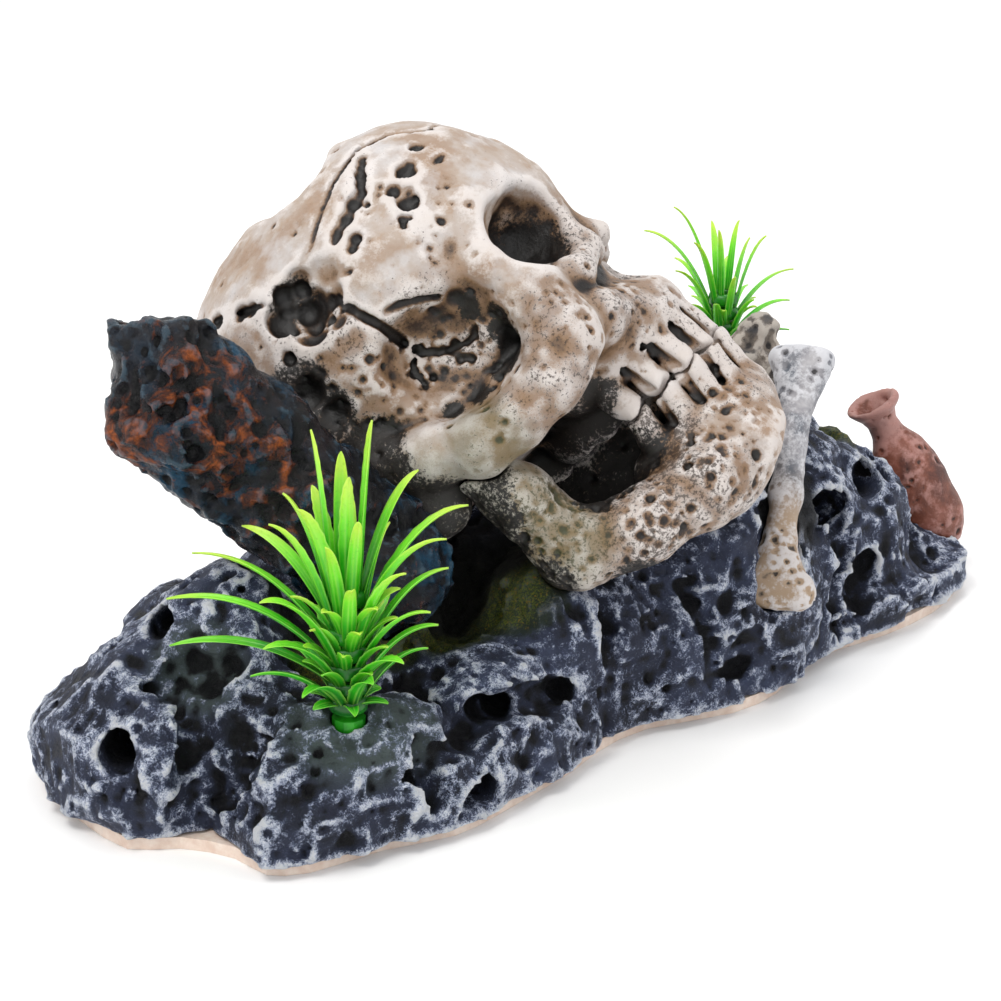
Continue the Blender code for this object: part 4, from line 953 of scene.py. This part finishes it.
def rock_clay(neighbours):
    """The rock casting, cut back from the castings that stand on it."""
    clay = Clay((-104, -46, -4), (102, 50, 52), ROCK_STEP)
    x, y, z = clay.lines
    plan = footprint_distance(x[:, None], y[None, :])[:, :, None]
    clay.value = np.maximum(plan + 1.5, z[None, None, :] - 7).astype(np.float32)
    for centre, radii, degrees in BOULDERS:
        clay.add(ball(centre, radii, Matrix.Rotation(math.radians(degrees), 3, "Z")), 3)
    clay.roughen(13, 2.2, 3)
    clay.roughen(6, 1.0, 4)
    clay.value += np.float32(-0.9)
    clay.value = -smooth_min(-clay.value, -(plan - 1.0).astype(np.float32), 2.0)
    rng = np.random.default_rng(51)
    for line, radius, blend in ROCK_CLEFTS:
        for part in chain(line, [radius] * len(line)):
            clay.cut(part, blend)
    for line, radius in ROCK_CRESTS:
        for part in chain(line, [radius] * len(line)):
            clay.add(part, 1.2)
    crag(clay, rng, 200, 5.0, 1.1, 0.6)
    for out in (4.5, 9.5):                     # a trough in front of the leg bone
        aim = out * toward(CAMERA_AZIMUTH, CAMERA_ELEVATION)
        clay.cut(rod(BONE_FOOT + aim + Vector((0, 0, -2)), BONE_HEAD + aim, 4.2, 5.5), 2)
    turn = SEAT_WAY.to_track_quat("Z", "Y").to_matrix()
    clay.cut(ball(SEAT_FACE + 6.3 * SEAT_WAY, (15, 15, 6), turn), 0.8)
    clay.roughen(9, 0.8, 52, ridged=True)
    clay.roughen(4.2, 0.7, 53, ridged=True)
    clay.roughen(2.1, 0.45, 54, ridged=True)
    for spot, radius, inward in ROCK_HOLES:
        tip = [a + b for a, b in zip(spot, inward)]
        clay.cut(rod(spot, tip, radius), 0.6)
    scattered_pits(clay, rng, 420, 0.7, 1.5)
    scattered_pits(clay, rng, 2600, 0.45, 0.9)
    for other, turn, at in neighbours:
        keep_clear(clay, other, turn, at, 0.35)
    for cutter in air_cutters() + [seat for foot in (FRONT_PLANT, REAR_PLANT) for seat in plant_seat(foot)]:
        clay.cut(cutter, 0.2)
    clay.cut(past((0, 0, PLATE_TOP), (0, 0, -1)), 0.1)
    return clay


def keep_clear(clay, other, turn, at, gap):
    """Cuts the clay back from another casting, given that one's place in the world."""
    corners = np.array([[x, y, z] for x in (other.low[0], other.high[0])
                        for y in (other.low[1], other.high[1]) for z in (other.low[2], other.high[2])])
    turn = np.identity(3) if turn is None else np.array(turn)
    world = corners @ turn.T + np.array(at)
    spans = tuple(slice(*np.searchsorted(line, (low, high))) for line, low, high in
                  zip(clay.lines, world.min(0), world.max(0)))
    x, y, z = np.meshgrid(*(line[span] for line, span in zip(clay.lines, spans)), indexing="ij")
    points = np.stack([x.ravel(), y.ravel(), z.ravel()], 1)
    near_by = np.abs(clay.value[spans].ravel()) < 40
    place = ((points[near_by] - np.array(at)) @ turn - other.low) / other.step
    inside = np.all((place >= 0) & (place <= np.array(other.value.shape) - 1), axis=1)
    distance = np.full(len(points), 50.0)
    found = np.full(len(place), 50.0)
    found[inside] = sampled(other.value, place[inside])
    distance[near_by] = found
    distance = distance.reshape(clay.value[spans].shape).astype(np.float32) - gap
    clay.value[spans] = -smooth_min(-clay.value[spans], distance, 0.3)


def air_cutters():
    """The chamber, the air line's groove, the port, the bubble shaft and the elbow's recess."""
    x, y = -9, -11
    low, roof, half = -10, 18.0, 10.0
    px, py, pz = PORT
    return [
        block_of((x - half - 3, y - 8.5, low), (x + half + 5, y + 8.5, roof)),
        block_of((x + half + 3, y - 5, low), (px + 5, y + 6, pz + 5)),
        block_of((px - 8, y - 3, low), (px + 5, py - 8, pz + 4.9)),
        upright((px, py - 12, pz), (px, py + 5, pz), 4.9),
        upright((px, py, pz), (px, py + 40, pz), 19.0),
        upright((2.5, -14.5, roof - 3), (2.5, -14.5, 80), 4.5),
    ]


def upright(start, end, radius):
    """A cylinder with flat ends."""
    start, end = np.array(start, float), np.array(end, float)
    length = np.linalg.norm(end - start)
    way, centre = (end - start) / length, (start + end) / 2

    def distance(x, y, z):
        place = (x - centre[0], y - centre[1], z - centre[2])
        along = sum(a * p for a, p in zip(way, place))
        off = np.sqrt(sum((p - along * a) ** 2 for a, p in zip(way, place)))
        return np.maximum(off - radius, np.abs(along) - length / 2).astype(np.float32)

    return centre, length / 2 + radius, distance


def plant_seat(foot):
    """The hole for the plant's plug and the free room above it."""
    low = foot - Vector((0, 0, 8.3))
    return [upright(low, foot + Vector((0, 0, 1)), 2.9), upright(foot, foot + Vector((0, 0, 40)), 4.0)]


# ---------------------------------------------------------------- log, bone, stone and jar

LOG_FOOT, LOG_HEAD, LOG_RADIUS = Vector((-47, -11, 35)), Vector((-76, 5, 67)), 12.5
LOG_BREAKS = [((-0.77, 0.64, 0), 8.6), ((0.22, 0.26, 0.94), 10.8), ((-0.87, -0.14, 0.38), 9.0)]
BONE_FOOT, BONE_HEAD = Vector((21.5, -34.5, 20.3)), Vector((44.5, -17.5, 54))
JAR_FOOT, JAR_MOUTH = Vector((92, -15, 6)), Vector((79, -5, 36))
STONE_AT = Vector((60, 7, 46))


def log_clay(neighbours):
    """The broken log, its upper end split off along three faces."""
    along = (LOG_HEAD - LOG_FOOT).normalized()
    clay = Clay((-98, -28, 16), (-28, 28, 88), SMALL_STEP * 1.1)
    clay.add(rod(LOG_FOOT, LOG_HEAD + 14 * along, LOG_RADIUS - 1, LOG_RADIUS), 1)
    clay.roughen(9, 1.3, 7)
    clay.roughen(4, 0.7, 61)
    rng = np.random.default_rng(62)
    for face, reach in LOG_BREAKS:
        clay.cut(past(LOG_HEAD, tuple(Vector(face).normalized()), reach), 0.5)
    crag(clay, rng, 50, 5.0, 1.2, 0.7)
    clay.roughen(5, 0.8, 64, ridged=True)
    clay.roughen(2.6, 0.5, 65, ridged=True)
    clay.roughen(1.5, 0.2, 63)
    scattered_pits(clay, rng, 90, 0.9, 2.0)
    scattered_pits(clay, rng, 700, 0.45, 0.9)
    for other, turn, at in neighbours:
        keep_clear(clay, other, turn, at, 0.35)
    return clay


def bone_clay(neighbours):
    """The leg bone that leans beside the jaw."""
    foot, head = BONE_FOOT, BONE_HEAD
    along = (head - foot).normalized()
    aside = along.cross(Vector((0, 0, 1))).cross(along).cross(along).normalized()
    clay = Clay((8, -50, 6), (66, 0, 70), SMALL_STEP)
    clay.add(rod(foot, foot.lerp(head, 0.4), 3.4, 2.8), 2)
    clay.add(rod(foot.lerp(head, 0.4), head, 2.8, 3.2), 2)
    for side in (-1, 1):
        clay.add(rod(foot.lerp(head, 0.72), head + 3.2 * side * aside, 2.5, 2.8), 1.2)
        clay.add(rod(foot.lerp(head, 0.12), foot + 4.2 * side * aside, 3, 3.4), 2)
    clay.cut(past(head, tuple(along), 2.4), 0.6)
    clay.cut(rod(head - 6 * along + 1.0 * aside, head + 4 * along + 0.6 * aside, 1.1), 0.5)
    clay.roughen(5, 0.35, 71)
    clay.roughen(2.2, 0.2, 72)
    rng = np.random.default_rng(73)
    scattered_pits(clay, rng, 500, 0.4, 0.8, lambda p: 0.12 + near(p, [(*foot, 7), (*head, 5)]))
    for other, turn, at in neighbours:
        keep_clear(clay, other, turn, at, 0.35)
    return clay


def stone_clay():
    """The brown boulder at the back."""
    at = STONE_AT
    clay = Clay(at - Vector((14, 14, 14)), at + Vector((14, 14, 16)), SMALL_STEP)
    clay.add(rod(at + Vector((-5, 1, -1)), at + Vector((5, -1, -2)), 4.6, 4), 3)
    clay.add(rod(at + Vector((-1.5, 0, 0)), at + Vector((-1, 0, 5.2)), 5.6, 4.2), 3)
    clay.roughen(6, 0.9, 11)
    rng = np.random.default_rng(81)
    crag(clay, rng, 60, 3.5, 0.9, 0.8)
    clay.roughen(1.6, 0.22, 82)
    scattered_pits(clay, rng, 120, 0.4, 0.9)
    return clay


def turned_shape(profile, foot, head):
    """A closed profile of (radius, height) corners turned round the line from foot to head."""
    way = (head - foot).normalized()
    corners = np.array(profile, float)

    def distance(x, y, z):
        place = (x - foot.x, y - foot.y, z - foot.z)
        along = sum(a * p for a, p in zip(way, place))
        off = np.sqrt(np.maximum(sum((p - along * a) ** 2 for a, p in zip(way, place)), 0))
        off, along = np.broadcast_arrays(off, along)
        nearest = np.full(off.shape, 1e9)
        inside = np.zeros(off.shape, bool)
        for (ax, ay), (bx, by) in zip(corners, np.roll(corners, -1, axis=0)):
            ex, ey = bx - ax, by - ay
            size = ex * ex + ey * ey
            if size == 0 or (ax == 0 and bx == 0):
                continue
            share = np.clip(((off - ax) * ex + (along - ay) * ey) / size, 0, 1)
            gap = (off - ax - share * ex) ** 2 + (along - ay - share * ey) ** 2
            nearest = np.minimum(nearest, gap)
        for (ax, ay), (bx, by) in zip(corners, np.roll(corners, -1, axis=0)):
            crosses = ((ay <= along) & (by > along)) | ((by <= along) & (ay > along))
            edge = ax + (along - ay) / ((by - ay) if by != ay else 1e-9) * (bx - ax)
            inside ^= crosses & (off < edge)
        return (np.where(inside, -1, 1) * np.sqrt(nearest)).astype(np.float32)

    return (foot + head) / 2, 24.0, distance


JAR_PROFILE = [(0, 0), (2.6, 0), (4.2, 0.6), (5.4, 3), (6.4, 6), (6.8, 9), (7.0, 12), (6.9, 15), (6.4, 19),
               (5.4, 22.4), (4.0, 25.2), (3.2, 27), (2.9, 29.5), (3.6, 31.4), (4.8, 32.6), (5.4, 33.4),
               (5.4, 34.2), (4.8, 34.5), (4.0, 34.0), (2.6, 31.6), (2.0, 29.5), (1.8, 25), (0, 24.5)]


def jar_clay():
    """The clay jar, half sunk in the rock."""
    clay = Clay((68, -28, -4), (104, 6, 46), SMALL_STEP)
    clay.add(turned_shape(JAR_PROFILE, JAR_FOOT, JAR_MOUTH), 0.4)
    clay.roughen(6, 0.35, 91)
    clay.roughen(2.2, 0.16, 92)
    rng = np.random.default_rng(93)
    scattered_pits(clay, rng, 160, 0.4, 0.9)
    return clay


# ---------------------------------------------------------------- plants

WHORL_PITCH, STEM_RADIUS, RING_RADIUS = 2.9, 1.3, 3.0
FRONT_WHORLS = [
    [(205, 14.7, 8.8), (-105, 11, 9.3), (-20, 13, 9), (40, 12, 8), (100, 13, 8), (155, 15, 8)],
    [(140, 27, 12), (188, 16.5, 16), (-87, 13, 12.5), (-45, 14, 15), (20, 13, 15), (80, 11, 14)],
    [(152, 27, 21.5), (187, 17, 23.5), (-65, 14, 19), (-25, 16, 22.5), (40, 10, 21), (85, 10, 20)],
    [(130, 24, 25), (-120, 12, 25), (-80, 12, 26), (12, 11, 28), (66, 9, 27)],
    [(115, 18, 28), (-62, 16.5, 31), (-27, 19, 33), (165, 12, 33), (-145, 10, 31), (40, 8, 32)],
    [(190, 9.5, 36), (-105, 7.7, 34), (-20, 12, 38), (95, 8, 35), (145, 9, 36)],
]
FRONT_TUFT = [(-30, 4.5, 47), (150, 4.5, 46), (60, 4.5, 41), (-120, 4.5, 40)]
REAR_WHORLS = [
    [(-30, 14, 6), (30, 12, 8), (95, 12, 8), (160, 12, 8), (-100, 7, 9)],
    [(-25, 14, 12), (-80, 7, 14), (25, 13, 13), (80, 12, 13), (140, 13, 13), (-150, 8, 14)],
    [(-20, 15, 18), (45, 11, 19), (110, 11, 20), (165, 11, 20), (-110, 6, 19)],
    [(138, 16, 27), (180, 9, 26), (-45, 8, 26), (70, 8, 27)],
]
REAR_TUFT = [(145, 10.5, 32), (-150, 4.5, 28), (20, 5, 28), (-70, 5, 26)]
LEAF_STEPS, LEAF_THICK = 16, 0.5


def leaf(root, azimuth, reach, rise, broad, rng):
    """Points, quads, and along and rib values of one leaf: a channelled blade that tapers to its tip."""
    way = Vector((math.cos(math.radians(azimuth)), math.sin(math.radians(azimuth)), 0))
    aside = Vector((-way.y, way.x, 0))
    start = Vector((RING_RADIUS - 1.0, 0, root))
    end = Vector((reach, 0, rise))
    bend = Vector((RING_RADIUS + 0.4 * (reach - RING_RADIUS), 0, root + 0.8 * (rise - root) + 0.14 * reach))
    droop = rng.uniform(0.0, 0.8) * max(reach - 10, 0) * 0.06
    sway, twist = rng.uniform(-0.7, 0.7), rng.uniform(-0.5, 0.5)
    barbed = rng.uniform() < 0.35
    columns = [-1.0, -0.62, -0.25, 0.0, 0.25, 0.62, 1.0]
    points, along, rib = [], [], []
    for step in range(LEAF_STEPS + 1):
        share = step / LEAF_STEPS
        spot = (1 - share) ** 2 * start + 2 * share * (1 - share) * bend + share ** 2 * end
        slope = (2 * (1 - share) * (bend - start) + 2 * share * (end - bend)).normalized()
        spot.z -= droop * share ** 6
        normal = Vector((-slope.z, 0, slope.x))
        width = 0.5 * broad * min(1.0, 0.72 + 1.1 * share) * (1 - share ** 2.6) ** 0.75 + 0.09
        if barbed and step % 2 and 0.3 < share < 0.9:
            width *= 1.14
        thick = 0.5 * LEAF_THICK * (1 - 0.55 * share)
        across = way * normal.x + Vector((0, 0, normal.z))
        centre = way * spot.x + Vector((0, 0, spot.z)) + sway * share ** 2 * aside
        turn = twist * share
        side = math.cos(turn) * aside + math.sin(turn) * across
        face = math.cos(turn) * across - math.sin(turn) * aside
        for top in (1, -1):
            for column in columns if top > 0 else columns[::-1]:
                channel = 0.32 * width * (abs(column) ** 1.6) - (0.10 if abs(column) == 0.25 else 0.0)
                edge = 1 - 0.75 * abs(column) ** 3
                points.append(centre + column * width * side + (channel + top * thick * edge) * face)
                along.append(share)
                rib.append(1.0 if abs(column) in (0.25, 1.0) else 0.0)
    count = 2 * len(columns)
    faces = []
    for step in range(LEAF_STEPS):
        here, there = step * count, (step + 1) * count
        faces += [(here + i, here + (i + 1) % count, there + (i + 1) % count, there + i)
                  for i in range(count)]
    for base, flip in ((0, True), (LEAF_STEPS * count, False)):
        for i in range(len(columns) - 1):
            quad = (base + i, base + i + 1, base + count - 2 - i, base + count - 1 - i)
            faces.append(quad[::-1] if flip else quad)
    return points, faces, along, rib


def ring(root, bore, sides=28):
    """The whorl's collar as a closed ring with rounded edges."""
    profile = [(bore, -1.0), (bore + 0.25, -1.15), (2.6, -1.15), (2.95, -0.9), (3.0, 0.0), (2.85, 0.8),
               (2.4, 1.15), (bore + 0.25, 1.15), (bore, 1.0)]
    points, faces = [], []
    for k in range(sides):
        angle = math.tau * k / sides
        points += [Vector((r * math.cos(angle), r * math.sin(angle), root + h)) for r, h in profile]
    count = len(profile)
    for k in range(sides):
        here, there = k * count, (k + 1) % sides * count
        faces += [(here + i, there + i, there + (i + 1) % count, here + (i + 1) % count)
                  for i in range(count)]
    return points, faces


def joined(shapes):
    """One list of points, faces, along and rib values from several shapes."""
    points, faces, along, rib = [], [], [], []
    for shape in shapes:
        base = len(points)
        points += shape[0]
        faces += [tuple(base + i for i in face) for face in shape[1]]
        along += shape[2] if len(shape) > 2 else [0.0] * len(shape[0])
        rib += shape[3] if len(shape) > 2 else [0.0] * len(shape[0])
    return points, faces, along, rib


def make_plant(plant, node, foot, whorls, tuft, broad, material, seed):
    rng = np.random.default_rng(seed)
    rings = whorls + [tuft]
    for index, leaves in enumerate(rings):
        root = WHORL_PITCH * (index + 0.5) + 0.2
        shapes = [ring(root, STEM_RADIUS + JOINT_GAP)]
        shapes += [leaf(root, *blade, broad * rng.uniform(0.85, 1.15), rng) for blade in leaves]
        low_rise = WHORL_PITCH * (0.2 if index == 0 else 1.2) + 0.8 * index
        shapes += [leaf(root, turn + 23 * index, 6.4 + 0.5 * index, root + low_rise, 0.9 * broad, rng)
                   for turn in range(0, 360, 60)] if index < len(whorls) - 1 else []
        points, faces, along, rib = joined(shapes)
        last = index == len(whorls)
        name = f"{plant}_crown" if last else f"{plant}_leaves_{index + 1}"
        cad = f"{node}_tuft" if last else f"{node}_whorl_{index + 1}"
        height = index / len(rings)
        along = np.array(along)
        values = {"along": along * (0.45 + 0.6 * min(1.0, 2.2 * height)) + 0.1 * height, "rib": np.array(rib)}
        mesh_of(name, [foot + p for p in points], faces, values, material,
                replaced=(cad,))


# ---------------------------------------------------------------- the whole

# Spots of paint, each (x, y, z, reach): on the skull and jaw in the skull's frame, else in the world.
# The near-black spots are painted shade: in the sockets, the mouth and its webs, under the arches, and on the
# log and the rock where the castings meet.
# The stain spots are stain and rust, and on the skull's cheeks and arches and on the jaw they are also
# painted shade on the sides turned from the light.
SKULL_SPOTS = {
    "painted_shade": [(-14, -29, 22, 3.5), (-14, -29, 16, 3.5), (-13, -28, 6, 4), (-12, -28, 0, 4),
             (-6, -26, 33, 3), (-12, -26, -4, 5), (27, -12, 13, 5), (27, 12, 13, 5),
             (12, 6, -20, 9), (0, 6, -22, 8), (14, -24.5, 12, 1.3), (15, -24.5, 6.5, 1.4),
             (11, -25.5, 1.6, 1.4), (6, -26.5, 1.2, 1.4), (1, -26.5, 2, 1.2), (-12, -27, -9, 5),
             (16.5, -24, 4.6, 2.4), (14, -26, 1.4, 2.2), (18, -25.5, 8.5, 1.6), (15, -24.5, 13, 1.4),
             (16.5, -11, -14, 4), (16, -6, -18.5, 5), (19, -14.5, -13, 2.5), (12, -7, -13.5, 5)],
    "moss": [(2, -32, -6, 5), (-10, -29, -6, 6)],
    "stain_and_shade": [(30, -12, 0, 9), (33, -6, 10, 6), (9, -25, 12, 7), (-9, -26, 20, 8), (30, 12, 0, 9),
              (10, 26, 12, 8), (-16, -22, 30, 5), (34, -4, -12, 6),
              (21, -33, -3, 5), (25, -31, 3, 4), (18, -31, -9, 6), (6, -36, -8, 6)],
}
JAW_SPOTS = {
    "painted_shade": [(-9, -28, -12, 3.5), (-10, -27, -20, 4), (-8, -26, -30, 4), (4, -22, -38, 3),
             (-4, -27, -5, 3), (14, 14, -28, 8), (0, 14, -24, 7), (26, 12, -30, 6), (14, 0, -30, 8),
             (-4, -31, -9, 4.5), (-6, -30, -15, 3.5), (7, -22, -25, 2.5), (12, -18, -26, 3),
             (16, -12, -24, 5)],
    "moss": [(-6, -28, -20, 6), (-2, -31, -14, 6), (-3, -29, -24, 7)],
    "stain_and_shade": [(34, -6, -27, 6), (10, -22, -36, 8), (0, -25, -30, 7), (20, -16, -24, 6),
              (20, 16, -24, 8), (12, -24, -32, 6), (-1, -30, -20, 7), (24, -20, -36, 6),
              (-3, -29, -26, 6), (4, -28, -28, 6)],
}
LOG_SPOTS = {
    "stain_and_shade": [(-76, -6, 69, 6), (-74, -9, 62, 5), (-70, -12.5, 56, 6), (-84, 2, 62, 5),
              (-66, -14, 50, 5)],
    "end": [(*(LOG_HEAD + Vector((-4, 2, 4))), 8)],
    "painted_shade": [(-60, -14, 44, 8), (-63, -14, 40, 5)],
}
BONE_SPOTS = {"stain_and_shade": [(*BONE_FOOT, 12)]}
ROCK_SPOTS = {
    "moss": [(-26, -20, 28, 6), (-22, -16, 30, 6), (-30, -12, 28, 7), (62, -10, 36, 4),
             (-60, -12, 24, 4), (-50, -14, 26, 5), (-38, -16, 26, 6)],
    "painted_shade": [(-34, -6, 28, 8), (-60, -4, 30, 6), (-20, -10, 32, 7), (-70, -14, 14, 4),
             (32, -24, 30, 6)],
    "smooth": [(-68, -31, 21, 7), (-62, -35, 18, 5), (-80, -7, 25, 5)],
}


def main():
    """Camera and stage, then the castings from the skull down to the rock, and last the plants."""
    add_camera()
    add_stage()

    bone = bone_paint("bone_paint", 1.0, 0.0)
    jaw_bone = bone_paint("jaw_paint", 1.2, 0.05)
    skull, jaw = skull_clay(), jaw_clay()
    keep_clear(jaw, skull, None, (0, 0, 0), 0.35)
    rest = (SKULL_TURN, SKULL_AT)
    cast("skull_bone", skull, bone, "painted_bone", SKULL_SPOTS, *rest)
    cast("jaw_bone", jaw, jaw_bone, "painted_bone", JAW_SPOTS, *rest)
    around = [(skull, *rest), (jaw, *rest)]
    log = log_clay(around)
    shin = bone_clay([(jaw, *rest)])
    stone, jar = stone_clay(), jar_clay()
    cast("log_casting", log, log_paint(), "rusted_log", LOG_SPOTS)
    cast("shin_bone", shin, grey_bone_paint(), "painted_bone_grey", BONE_SPOTS)
    cast("brown_boulder", stone, stone_paint(), "brown_stone")
    cast("jar_casting", jar, jar_paint(), "terracotta")
    here = (None, (0, 0, 0))
    rock = rock_clay(around + [(log, *here), (shin, *here), (stone, *here), (jar, *here)])
    cast("rock_casting", rock, rock_paint(), "painted_rock", ROCK_SPOTS)

    leaves = leaf_paint()
    make_plant("front_grass", "front_plant", FRONT_PLANT, FRONT_WHORLS, FRONT_TUFT, 2.4, leaves, 101)
    make_plant("rear_grass", "rear_plant", REAR_PLANT, REAR_WHORLS, REAR_TUFT, 1.6, leaves, 102)
    finish_cad_nodes()


def finish_cad_nodes():
    """Materials for the CAD nodes that stay as they are."""
    raw = plain_paint("raw_resin_paint", 0.7, [(0.35, "dcc4b4"), (0.65, "ecdccf")], 0.5, 0.05)
    stem = plain_paint("stem_paint", 0.35, [(0.35, "0b6d0c"), (0.65, "2aa01a")], 0.4, 0.05)
    sintered = [(0.38, "4d4f56"), (0.5, "7c7f86"), (0.64, "b9bbc0")]
    grit = plain_paint("air_stone_paint", 0.9, sintered, 2.4, 0.3)
    clear = plain_paint("clear_plastic_paint", 0.2, [(0.3, "dfe3e6"), (0.7, "eef1f3")], 0.3, 0.01,
                        Transmission_Weight=0.6)
    silicone = plain_paint("silicone_paint", 0.3, [(0.3, "c8d4d6"), (0.7, "dbe4e5")], 0.2, 0.01,
                           Transmission_Weight=0.5)
    rubber = plain_paint("rubber_paint", 0.75, [(0.3, "141414"), (0.7, "1d1d1e")], 0.8, 0.03)
    black = plain_paint("black_plastic_paint", 0.38, [(0.3, "101112"), (0.7, "191a1c")], 1.5, 0.02)
    paints = {"base_plate": raw, "front_plant_stem": stem, "rear_plant_stem": stem, "air_stone": grit,
              "air_stone_nipple": clear, "inner_airline": silicone, "elbow_grommet": rubber,
              "air_elbow": black}
    for node, material in paints.items():
        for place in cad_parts[node].material_slots:
            place.material = material


main()
bpy.context.view_layer.update()
